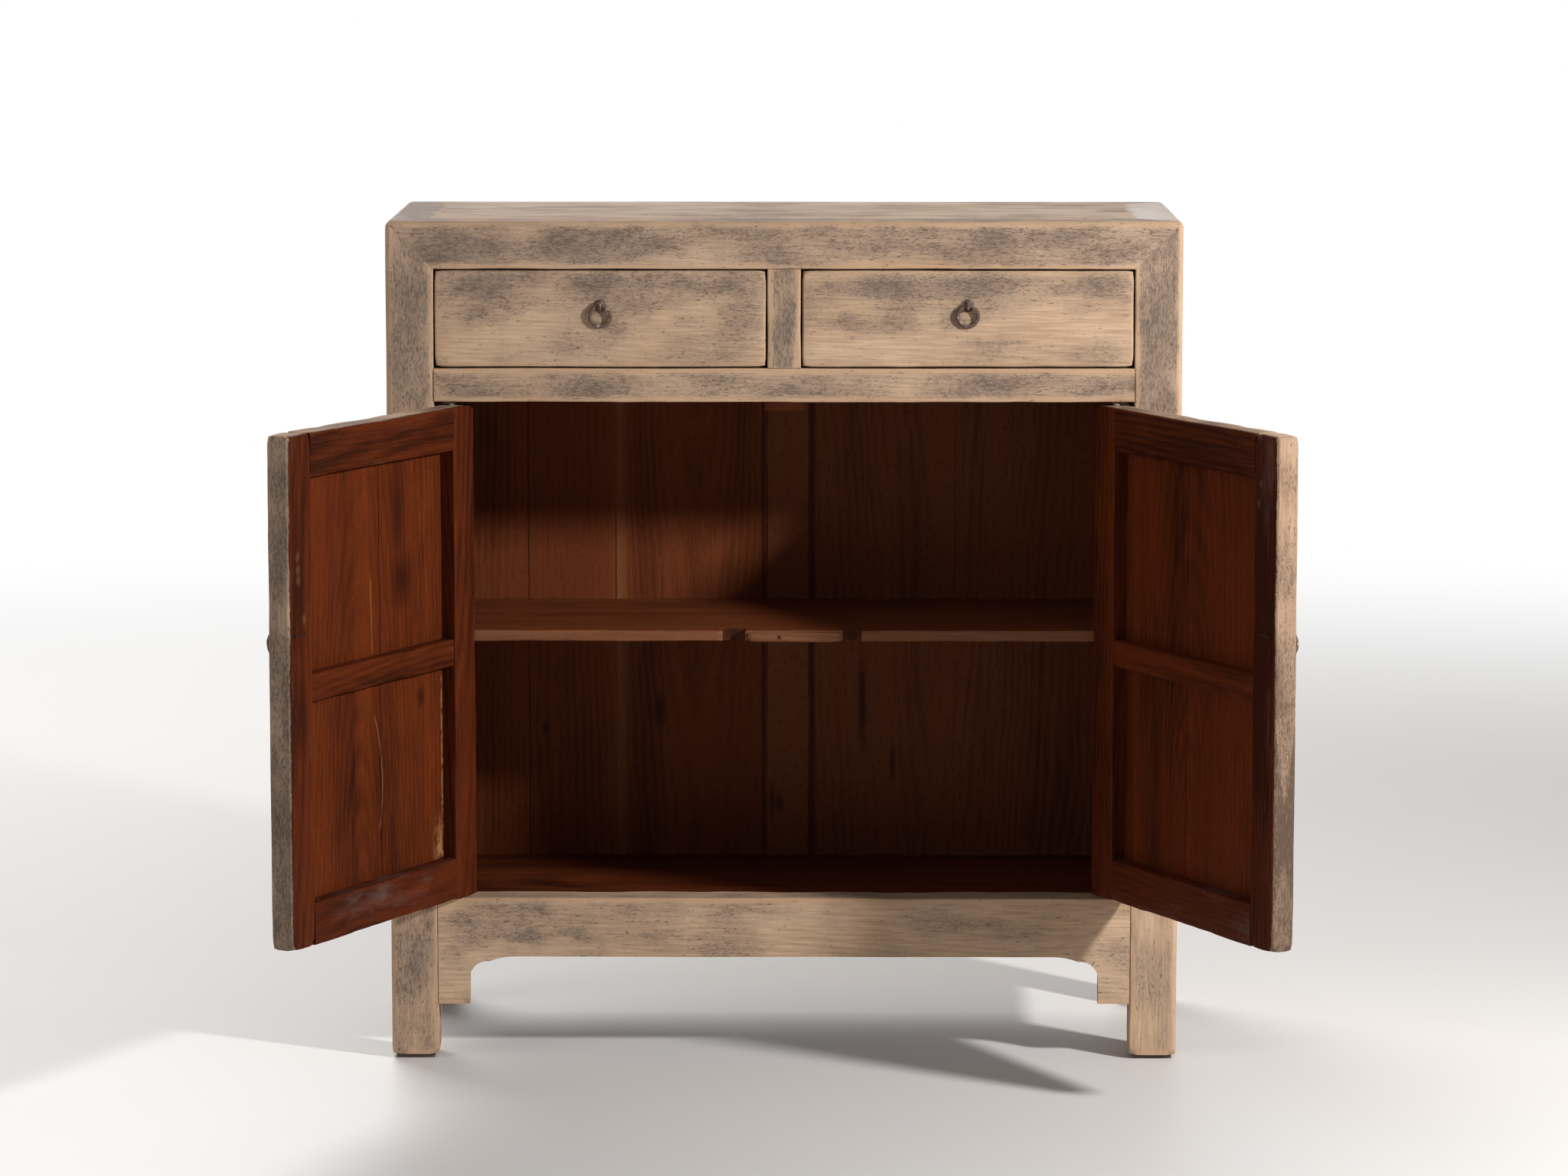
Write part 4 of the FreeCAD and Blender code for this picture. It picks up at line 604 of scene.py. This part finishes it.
def carcass_inside(finish):
    """1 inside the cabinet and 0 outside it, for pieces that have a side each way."""
    across = abs(finish.x).rise(SIDE_FACE + 0.004, SIDE_FACE + 0.0045)
    depth = finish.y.between(FRONT + 0.012, BACK_FACE + 0.004)
    return (1 - across) * depth * (1 - finish.z.rise(TOP - 0.02, TOP - 0.018))


def post_inside(finish):
    """1 on the faces of a post that look into the cabinet."""
    across = 1 - abs(finish.x).rise(INNER_X + 0.0004, INNER_X + 0.0012)
    depth = finish.y.between(FRONT + 0.010, BACK_FACE, 0.002)
    return across * depth * finish.z.between(SILL - 0.02, TOP)


def door_inside(finish):
    """1 on the faces of a door that look into the cabinet when it is shut."""
    chips = (finish.layer("chips") - 0.5) * 0.0025
    face = (finish.y + chips).rise(DOOR_FACE_IN - 0.0016, DOOR_FACE_IN - 0.001)
    arris = finish.y.rise(DOOR_FACE_IN - 0.006, DOOR_FACE_IN - 0.005)
    within = finish.x.between(DOOR_LOW.x + 0.005, DOOR_HIGH.x - 0.005)
    within = within * finish.z.between(DOOR_LOW.z + 0.005, DOOR_HIGH.z - 0.005)
    tongue = 0.006
    field = finish.x.between(DOOR_PANEL_LOW.x + tongue, DOOR_PANEL_HIGH.x - tongue)
    field = field * finish.z.between(DOOR_PANEL_LOW.z + tongue, DOOR_PANEL_HIGH.z - tongue)
    return face.most(arris * within).most(field * finish.y.rise(-0.0022, -0.0012))


def to_piece(bm, name, place=STILL, smooth_under=35):
    """Move a bmesh to its place and make it an object at the origin."""
    bmesh.ops.transform(bm, matrix=place, verts=bm.verts)
    if place.determinant() < 0:
        bmesh.ops.reverse_faces(bm, faces=bm.faces)
    mesh = bpy.data.meshes.new(name)
    bm.to_mesh(mesh)
    bm.free()
    mesh.shade_smooth()
    mesh.set_sharp_from_angle(angle=math.radians(smooth_under))
    piece = bpy.data.objects.new(name, mesh)
    bpy.context.scene.collection.objects.link(piece)
    return piece


def paint_on(thing, material):
    """Give a piece or a node its only material."""
    thing.data.materials.clear()
    thing.data.materials.append(material)


def stand_for(piece, node, material):
    """Let a piece stand for a CAD node, and move and finish it as that node."""
    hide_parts(node)
    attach(piece, frame["nodes"][node]["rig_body"])
    paint_on(piece, material)
    paint_on(frame["nodes"][node], material)


def slice_up(bm, low, high, wear):
    """Cut a mesh into a grid, closer along its longest side."""
    size = high - low
    longest = max(range(3), key=lambda axis: size[axis])
    for axis in range(3):
        step = wear.grid_along if axis == longest else wear.grid_across
        count = math.ceil(size[axis] / step)
        normal = Vector((axis == 0, axis == 1, axis == 2))
        for number in range(1, count):
            spot = low + normal * (size[axis] * number / count)
            geometry = bm.verts[:] + bm.edges[:] + bm.faces[:]
            bmesh.ops.bisect_plane(bm, geom=geometry, dist=SAME_PLACE, plane_co=spot, plane_no=normal)


def wear_down(bm, low, high, wear, still):
    """Rub a box's edges and corners back unevenly and let its faces stray from flat, where it isn't still."""
    middle = (low + high) / 2
    for vert in bm.verts:
        spot = vert.co.copy()
        if still(spot):
            continue
        reach = sorted((min(spot[axis] - low[axis], high[axis] - spot[axis]), axis) for axis in range(3))
        near = max(0, 1 - reach[1][0] / wear.rub_reach)
        hollow = noise.noise(spot * 14) + 0.5 * noise.noise(spot * 45)
        rub = wear.rub * near * near * min(1, max(0.1, 0.4 + hollow))
        corner = wear.corner_rub * near * max(0, 1 - reach[2][0] / (2 * wear.rub_reach)) ** 2
        for place, (_, axis) in enumerate(reach):
            amount = corner + (rub if place < 2 else 0)
            vert.co[axis] += math.copysign(amount, middle[axis] - spot[axis])
        vert.co += noise.noise_vector(spot * 9) * wear.wave + noise.noise_vector(spot * 40) * wear.wave * 0.25


def worn_copy(node, material, wear):
    """Replace a CAD node by a copy with hand-worn edges and slightly uneven faces."""
    place = place_of(node)
    bm = bmesh.new()
    bm.from_mesh(frame["nodes"][node].data)
    bmesh.ops.remove_doubles(bm, verts=bm.verts, dist=SAME_PLACE)
    bmesh.ops.transform(bm, matrix=place.inverted(), verts=bm.verts)
    low, high = box_in(place, node)

    def still(spot):
        """Whether a place is on a door's pin or socket, which run with little play."""
        return node in PIVOTED and any(((place @ spot).xy - pivot).length < PIVOT_REACH for pivot in PIVOTS)

    slice_up(bm, low, high, wear)
    wear_down(bm, low, high, wear, still)
    bmesh.ops.transform(bm, matrix=place, verts=bm.verts)
    stand_for(to_piece(bm, f"{node}_worn"), node, material)


class CabinetStep(bpy.types.Operator):
    """Shared access to the settings."""
    bl_options = {"REGISTER"}

    @property
    def colours(self):
        return bpy.context.scene.cabinet_colours

    @property
    def wear(self):
        return bpy.context.scene.cabinet_wear

    def closed(self, finish, look, sheen=INSIDE_SHEEN):
        """The material of a piece with this look."""
        return finish.done(look.colour, look.roughness, look.height, self.wear.grain_depth, sheen)

    def outer(self, node, grain, seed, paint=0.5, grey=0.3, inside=None, band=None, rub=1.0):
        """Dress a node as bleached wood outside, and as varnished wood where it looks inside.

        A band is two heights, between which the paint grows to be that much more."""
        place = place_of(node)
        finish = Finish(node, place, seed)
        if band:
            low_end, high_end, more = band
            paint = finish.z.rise(low_end, high_end) * more + paint
        heart = heart_of(node, grain)
        low, high = box_in(place, node)
        reach = finish.edge_reach(low, high)
        spots = PAINT_SPOTS.get(node, ())
        look = bleached(finish, grain, heart, self.colours, paint, reach, grey, spots, rub)
        if inside:
            within = varnished(finish, grain, heart, self.colours, 0.75)
            look = look.over(finish, inside(finish), within)
        worn_copy(node, self.closed(finish, look, OUTSIDE_SHEEN), self.wear)

    def inner(self, node, grain, seed, depth=0.5, brown=0.0, worn=True):
        """Dress a node as varnished wood, left raw on the back of the cabinet."""
        finish = Finish(node, place_of(node), seed)
        heart = heart_of(node, grain)
        look = varnished(finish, grain, heart, self.colours, depth, 0, brown)
        look.colour = marked(finish, node, look.colour, self.colours)
        if node.startswith("back"):
            rear = finish.y.rise(BACK_FACE + 0.003, BACK_FACE + 0.004)
            look = look.over(finish, rear, raw(finish, grain, heart, self.colours, 0.8))
        if worn:
            worn_copy(node, self.closed(finish, look), self.wear)
        else:
            paint_on(frame["nodes"][node], self.closed(finish, look))

    def plain(self, node, grain, seed, age=0.4):
        """Dress a node as raw wood and leave its shape."""
        finish = Finish(node, place_of(node), seed)
        look = raw(finish, grain, heart_of(node, grain), self.colours, age)
        paint_on(frame["nodes"][node], self.closed(finish, look, RAW_SHEEN))


class CABINET_OT_posts(CabinetStep):
    """Dress the four posts"""
    bl_idname = "cabinet.posts"
    bl_label = "Posts"

    def execute(self, context):
        self.outer("post_front_left", "z", 1, 0.75, 0.15, post_inside)
        self.outer("post_front_right", "z", 2, 0.4, 0.15, post_inside, band=(0.45, 0.8, 0.65))
        self.outer("post_back_left", "z", 3, 0.6, 0.3, post_inside)
        self.outer("post_back_right", "z", 4, 0.6, 0.3, post_inside)
        return {"FINISHED"}


class CABINET_OT_top(CabinetStep):
    """Dress the top frame and its boards"""
    bl_idname = "cabinet.top"
    bl_label = "Top"

    def execute(self, context):
        # The top pieces get much more grey than the front, partly as painted sheen on the top. The left end's
        # extra paint is painted shade, and the right end's missing paint and extra grey are painted light
        # from the key lamp at the right.
        self.outer("top_rail_front", "x", 11, 0.82, 0.15)
        self.outer("top_rail_back", "x", 12, 0.3, 0.9)
        self.outer("top_rail_left", "y", 13, 1.1, 1.2)
        self.outer("top_rail_right", "y", 14, -0.5, 1.6)
        self.outer("top_boards", "x", 15, 0.25, 0.5)
        return {"FINISHED"}


class CABINET_OT_front(CabinetStep):
    """Dress the rails and the upright of the front"""
    bl_idname = "cabinet.front"
    bl_label = "Front rails"

    def execute(self, context):
        self.outer("drawer_rail", "x", 21, 0.68, 0.1, carcass_inside)
        self.outer("drawer_divider", "z", 22, 0.65, 0.1)
        self.outer("bottom_rail_front", "x", 23, 0.34, 0.1)
        return {"FINISHED"}


class CABINET_OT_sides(CabinetStep):
    """Dress the side panels and the low rails"""
    bl_idname = "cabinet.sides"
    bl_label = "Sides"

    def execute(self, context):
        for seed, side in enumerate(SIDES):
            self.outer(f"side_panel_{side}", "z", 31 + seed, 0.5, 0.35, carcass_inside)
            self.outer(f"bottom_rail_{side}", "y", 33 + seed, 0.5, 0.3)
        self.plain("bottom_rail_back", "x", 35)
        return {"FINISHED"}


class CABINET_OT_inside(CabinetStep):
    """Dress the back, the floor, the shelf and what carries them"""
    bl_idname = "cabinet.inside"
    bl_label = "Inside"

    def execute(self, context):
        self.inner("back_panel_left", "z", 41, 0.1, 0.5)
        self.inner("back_panel_right", "z", 42, 0.1, 0.85)
        self.inner("back_stile", "z", 43, -0.3, 1)
        self.inner("floor_boards", "x", 44, 0.55, 0.3)
        self.shelf()
        self.stop()
        self.inner("shelf_bearers", "y", 47, 0.7, worn=False)
        self.runner()
        for number, node in enumerate(("runner_left", "runner_right", "top_battens")):
            self.plain(node, "y", 48 + number)
        return {"FINISHED"}

    def runner(self):
        """The runner that both drawers share, with an end that shows below the drawer rail."""
        node = "runner_centre"
        finish = Finish(node, STILL, 52)
        look = varnished(finish, "y", heart_of(node, "y"), self.colours, -0.1, 0, 0.5)
        bm = bmesh.new()
        bm.from_mesh(frame["nodes"][node].data)
        bmesh.ops.remove_doubles(bm, verts=bm.verts, dist=SAME_PLACE)
        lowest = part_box(node)[0].z + SAME_PLACE
        foot = [vert for vert in bm.verts if vert.co.z < lowest]
        bmesh.ops.translate(bm, vec=(0, 0, -RUNNER_DROP), verts=foot)
        stand_for(to_piece(bm, f"{node}_worn"), node, self.closed(finish, look))

    def shelf(self):
        """The shelf: varnished on top, with a raw front edge."""
        finish = Finish("shelf", STILL, 45)
        heart = heart_of("shelf", "x")
        look = varnished(finish, "x", heart, self.colours, 0.2, 0.12, 0.6)
        behind = finish.y.rise(*SHELF_FRONT)
        look = look.over(finish, 1 - behind, rubbed(finish, "x", heart, self.colours))
        # Darker towards the darkest varnish at the notches beside the stop.
        notch = near_spots(finish, DARK_SPOTS["shelf"], 0.1) * (1 - finish.y.rise(*NOTCH_DEPTH))
        look.colour = finish.mix(notch * behind * 0.9, look.colour, self.colours.varnish_dark)
        worn_copy("shelf", self.closed(finish, look), self.wear)

    def stop(self):
        """The stop that the doors shut against."""
        finish = Finish("door_stop", STILL, 46)
        look = rubbed(finish, "x", heart_of("door_stop", "x"), self.colours)
        across, up = finish.x - NAIL_X, finish.z - NAIL_Z
        nail = 1 - (across * across + up * up).math("SQRT").rise(0.0018, 0.003)
        look.colour = finish.mix(nail * 0.85, look.colour, self.colours.varnish_dark)
        worn_copy("door_stop", self.closed(finish, look), self.wear)


class CABINET_OT_drawers(CabinetStep):
    """Dress both drawers"""
    bl_idname = "cabinet.drawers"
    bl_label = "Drawers"

    def execute(self, context):
        for seed, side in enumerate(SIDES):
            paint = 0.36 - 0.15 * seed
            self.outer(f"drawer_front_{side}", "x", 61 + seed, paint, 0.1, band=(0.89, 0.94, 0.45), rub=0.35)
            self.plain(f"drawer_outer_side_{side}", "y", 63 + seed)
            self.plain(f"drawer_inner_side_{side}", "y", 65 + seed)
            self.plain(f"drawer_back_{side}", "x", 67 + seed)
            self.plain(f"drawer_bottom_{side}", "x", 69 + seed)
        return {"FINISHED"}


class CABINET_OT_doors(CabinetStep):
    """Dress both doors: bleached and painted outside, varnished inside"""
    bl_idname = "cabinet.doors"
    bl_label = "Doors"

    def execute(self, context):
        for seed, side in enumerate(SIDES):
            # The right door's panel gets deeper varnish than the left, partly as painted shade on the door
            # that faces away from the key lamp.
            for number, (part, grain, depth, dust) in enumerate((
                    ("hinge_stile", "z", 0.65, 0), ("lock_stile", "z", 0.7, 0.17),
                    ("top_rail", "x", 0.68, 0.12), ("bottom_rail", "x", 0.8, 0.23),
                    ("batten", "x", 0.68, 0), ("panel", "z", 0.4 + 0.12 * seed, 0.02))):
                self.door_part(f"door_{part}_{side}", grain, 71 + 10 * seed + number, depth, dust)
        return {"FINISHED"}

    def door_part(self, node, grain, seed, depth, dust):
        """One piece of a door."""
        place = place_of(node)
        finish = Finish(node, place, seed)
        heart = heart_of(node, grain)
        figure = 0.25
        if "panel" in node:
            heart = heart_of(node, grain, 0.03, 0.12)
            figure = 0.18
        reach = finish.edge_reach(*box_in(place, node))
        paint = 0.65
        edge = finish.x.rise(DOOR_HIGH.x - 0.005, DOOR_HIGH.x - 0.003)
        if node == "door_lock_stile_left":
            paint, reach = edge * 0.45 + 0.65, reach + edge
        if node == "door_lock_stile_right":
            paint, reach = edge * self.tongues(finish) + 0.65, reach + edge
        look = bleached(finish, grain, heart, self.colours, paint, reach)
        # Painted shade over the right door's free edge, which the key lamp lights most squarely.
        if node == "door_lock_stile_right":
            painted_edge_shade = finish.vector("MULTIPLY", look.colour, self.colours.painted_edge_shade[:3])
            look.colour = finish.mix(edge, look.colour, painted_edge_shade)
        within = varnished(finish, grain, heart, self.colours, depth, dust, 0, figure)
        within.colour = marked(finish, node, within.colour, self.colours)
        look = look.over(finish, door_inside(finish), within)
        if node == "door_panel_left":
            look.colour = self.cracked(finish, look.colour)
        worn_copy(node, self.closed(finish, look), self.wear)

    def tongues(self, finish):
        """More paint low on a free edge, with a bare tongue into it from above and one from below."""
        aside = abs(finish.y - 0.004)
        from_above = (finish.z - aside * 7).rise(0.355, 0.375)
        from_below = 1 - (finish.z + aside * 4).rise(0.295, 0.32)
        return (1 - from_above) * (1 - from_below * 0.8) + 0.2

    def cracked(self, finish, colour):
        """Two pale cracks, and a corner where the varnish has flaked."""
        cracks = crack(finish, *UPPER_CRACK).most(crack(finish, *LOWER_CRACK))
        flake = finish.layer("flakes")
        corner = (1 - finish.x.rise(0.036, 0.056)) * (1 - finish.z.rise(0.26, 0.32)) * flake.rise(0.42, 0.55)
        line = (1 - finish.x.rise(0.031, 0.033)) * (1 - finish.z.rise(0.46, 0.48)) * flake.rise(0.42, 0.52)
        bare = (cracks * 0.27).most(corner * 0.6).most(line * 0.4)
        return finish.mix(bare, colour, self.colours.flaked)


class CABINET_OT_feet(CabinetStep):
    """Dress the pads under the posts"""
    bl_idname = "cabinet.feet"
    bl_label = "Foot pads"

    def execute(self, context):
        finish = Finish("foot_pad")
        speck = finish.noise(finish.point, 900, 3, 0.7)
        colour = finish.mix(speck.rise(0.45, 0.7) * 0.5, self.colours.pad, self.colours.bleached_dark)
        paint_on(frame["nodes"]["foot_pads"], finish.done(
            colour, 0.85 - speck * 0.1, speck, 0.0003, RAW_SHEEN))
        return {"FINISHED"}


class CABINET_OT_pulls(CabinetStep):
    """Forge the four rings and their eyes"""
    bl_idname = "cabinet.pulls"
    bl_label = "Pulls"

    def execute(self, context):
        for seed, side in enumerate(SIDES):
            self.pull(f"drawer_pull_ring_{side}", f"drawer_pull_eye_{side}", STILL, seed)
            self.pull(f"door_pull_ring_{side}", f"door_pull_eye_{side}", DOOR_PLACES[side], seed + 2)
        return {"FINISHED"}

    def iron(self, name, place, seed):
        """Dark forged iron, rubbed bright where it stands proud and stained where it lies behind the wood."""
        finish = Finish(name, place, seed)
        pits = finish.layer("pits")
        worn = finish.layer("rubbing").rise(0.52, 0.68)
        colour = finish.mix(worn * 0.65, self.colours.iron, self.colours.iron_worn)
        rust = finish.layer("rust").rise(0.55, 0.7)
        colour = finish.mix(rust * 0.5, colour, self.colours.varnish_red)
        front = box_in(place, name)[0].y
        behind = finish.y.rise(front + 0.014, front + 0.016)
        colour = finish.mix(behind, colour, self.colours.varnish_dark)
        bright = worn * (1 - behind)
        roughness = 0.65 - bright * 0.2 + behind * 0.35
        return finish.done(colour, roughness, pits, 0.0005, OUTSIDE_SHEEN, bright * 0.35)

    def hammer(self, bm, seed):
        """Make the iron a little uneven."""
        pulls = bpy.context.scene.cabinet_pulls
        for vert in bm.verts:
            vert.co += noise.noise_vector(vert.co * 330 + Vector((seed, 0, 0))) * pulls.hammering

    def pull(self, ring_node, eye_node, place, seed):
        """A ring and the eye that it hangs in."""
        pulls = bpy.context.scene.cabinet_pulls
        low, high = box_in(place, ring_node)
        wire = pulls.ring_wire
        half = (high - low) / 2 - Vector((wire, wire, wire))
        ring = bmesh.new()
        circle = bmesh.ops.create_circle(
            ring, segments=WIRE_SIDES, radius=wire - pulls.hammering / 2)
        bmesh.ops.translate(ring, vec=Vector((half.x, 0, 0)), verts=circle["verts"])
        bmesh.ops.spin(
            ring, geom=ring.verts[:] + ring.edges[:], cent=(0, 0, 0), axis=(0, 1, 0), dvec=(0, 0, 0),
            angle=2 * math.pi, steps=pulls.ring_steps, use_merge=True)
        lean = Matrix.Rotation(math.atan2(half.y, half.z), 3, "X")
        bmesh.ops.rotate(ring, cent=(0, 0, 0), matrix=lean, verts=ring.verts)
        bmesh.ops.translate(ring, vec=(low + high) / 2, verts=ring.verts)
        bmesh.ops.recalc_face_normals(ring, faces=ring.faces)
        self.hammer(ring, seed)
        stand_for(to_piece(ring, f"{ring_node}_forged", place), ring_node, self.iron(ring_node, place, seed))
        eye = bmesh.new()
        eye.from_mesh(frame["nodes"][eye_node].data)
        bmesh.ops.remove_doubles(eye, verts=eye.verts, dist=SAME_PLACE)
        self.hammer(eye, seed)
        stand_for(to_piece(eye, f"{eye_node}_forged"), eye_node, self.iron(eye_node, place, seed + 9))


class CABINET_OT_stage(CabinetStep):
    """Set the floor, the lamps and the camera"""
    bl_idname = "cabinet.stage"
    bl_label = "Stage"

    def execute(self, context):
        studio = context.scene.cabinet_studio
        context.scene.view_settings.view_transform = "Standard"
        self.floor()
        self.sky(studio)
        self.lamp("key_lamp", studio.key_place, studio.key_size, studio.key_level)
        self.lamp("fill_lamp", studio.fill_place, studio.soft_size, studio.fill_level)
        self.lamp("back_lamp", studio.back_place, studio.soft_size, studio.back_level)
        self.camera(studio)
        return {"FINISHED"}

    def floor(self):
        """A pale floor that fades to white far from the cabinet."""
        bm = bmesh.new()
        bmesh.ops.create_grid(bm, x_segments=8, y_segments=8, size=FLOOR_HALF)
        piece = to_piece(bm, "floor")
        finish = Finish("floor")
        distance = (finish.x * finish.x + finish.y * finish.y).math("SQRT")
        far = distance.rise(*FLOOR_FADE)
        cloud = finish.noise(finish.point, 2.2, 3)
        shader = finish.node(
            "ShaderNodeBsdfPrincipled", {},
            {"Base Color": self.colours.floor, "Roughness": 0.42 + cloud * 0.12})
        white = finish.node("ShaderNodeEmission", {}, {"Color": WHITE, "Strength": 1})
        both = finish.node(
            "ShaderNodeMixShader", {}, {0: far * finish.seen(), 1: shader.outputs[0], 2: white.outputs[0]})
        finish.node("ShaderNodeOutputMaterial", {}, {"Surface": both.outputs[0]})
        paint_on(piece, finish.material)

    def sky(self, studio):
        """An even sky that the camera and the iron see as white."""
        world = bpy.data.worlds.new("studio")
        bpy.context.scene.world = world
        sky = Nodes(world)
        strength = sky.node("ShaderNodeMapRange", {}, {"Value": sky.seen(), "To Min": studio.sky_level})
        background = sky.node(
            "ShaderNodeBackground", {}, {"Color": WHITE, "Strength": strength.outputs["Result"]})
        sky.node("ShaderNodeOutputWorld", {}, {"Surface": background.outputs[0]})

    def lamp(self, name, place, size, level):
        """A round lamp whose light makes a white face that looks at it that bright."""
        place = Vector(place)
        aim = Vector((0, 0, TOP / 2))
        data = bpy.data.lights.new(name, "AREA")
        data.shape = "DISK"
        data.size = size
        data.energy = level * (math.pi * (place - aim).length) ** 2
        lamp = bpy.data.objects.new(name, data)
        lamp.location = place
        lamp.rotation_euler = (aim - place).to_track_quat("-Z", "Y").to_euler()
        bpy.context.scene.collection.objects.link(lamp)

    def camera(self, studio):
        """The camera at the photograph's viewing angle."""
        data = bpy.data.cameras.new("camera")
        data.lens = studio.lens
        camera = bpy.data.objects.new("camera", data)
        camera.location = studio.camera_place
        look = Vector(studio.camera_aim).to_track_quat("-Z", "Y")
        camera.rotation_euler = (look.to_matrix() @ Matrix.Rotation(studio.camera_roll, 3, "Z")).to_euler()
        bpy.context.scene.collection.objects.link(camera)
        bpy.context.scene.camera = camera


STEPS = (
    CABINET_OT_posts, CABINET_OT_top, CABINET_OT_front, CABINET_OT_sides, CABINET_OT_inside,
    CABINET_OT_drawers, CABINET_OT_doors, CABINET_OT_feet, CABINET_OT_pulls, CABINET_OT_stage,
)


class CABINET_PT_steps(bpy.types.Panel):
    """The steps that dress the cabinet"""
    bl_label = "Cabinet"
    bl_space_type = "VIEW_3D"
    bl_region_type = "UI"
    bl_category = "Cabinet"

    def draw(self, context):
        for step in STEPS:
            self.layout.operator(step.bl_idname)


GROUPS = {
    "cabinet_colours": CabinetColours,
    "cabinet_wear": CabinetWear,
    "cabinet_pulls": CabinetPulls,
    "cabinet_studio": CabinetStudio,
}


def register():
    """Add the settings, the steps and the panel."""
    for name, group in GROUPS.items():
        bpy.utils.register_class(group)
        setattr(bpy.types.Scene, name, PointerProperty(type=group))
    for step in (*STEPS, CABINET_PT_steps):
        bpy.utils.register_class(step)


def unregister():
    """Take away the panel, the steps and the settings."""
    for step in reversed((*STEPS, CABINET_PT_steps)):
        bpy.utils.unregister_class(step)
    for name, group in GROUPS.items():
        delattr(bpy.types.Scene, name)
        bpy.utils.unregister_class(group)


def main():
    """Dress the cabinet step by step."""
    register()
    bpy.ops.cabinet.posts()
    bpy.ops.cabinet.top()
    bpy.ops.cabinet.front()
    bpy.ops.cabinet.sides()
    bpy.ops.cabinet.inside()
    bpy.ops.cabinet.drawers()
    bpy.ops.cabinet.doors()
    bpy.ops.cabinet.feet()
    bpy.ops.cabinet.pulls()
    bpy.ops.cabinet.stage()


if __name__ == "__main__":
    main()
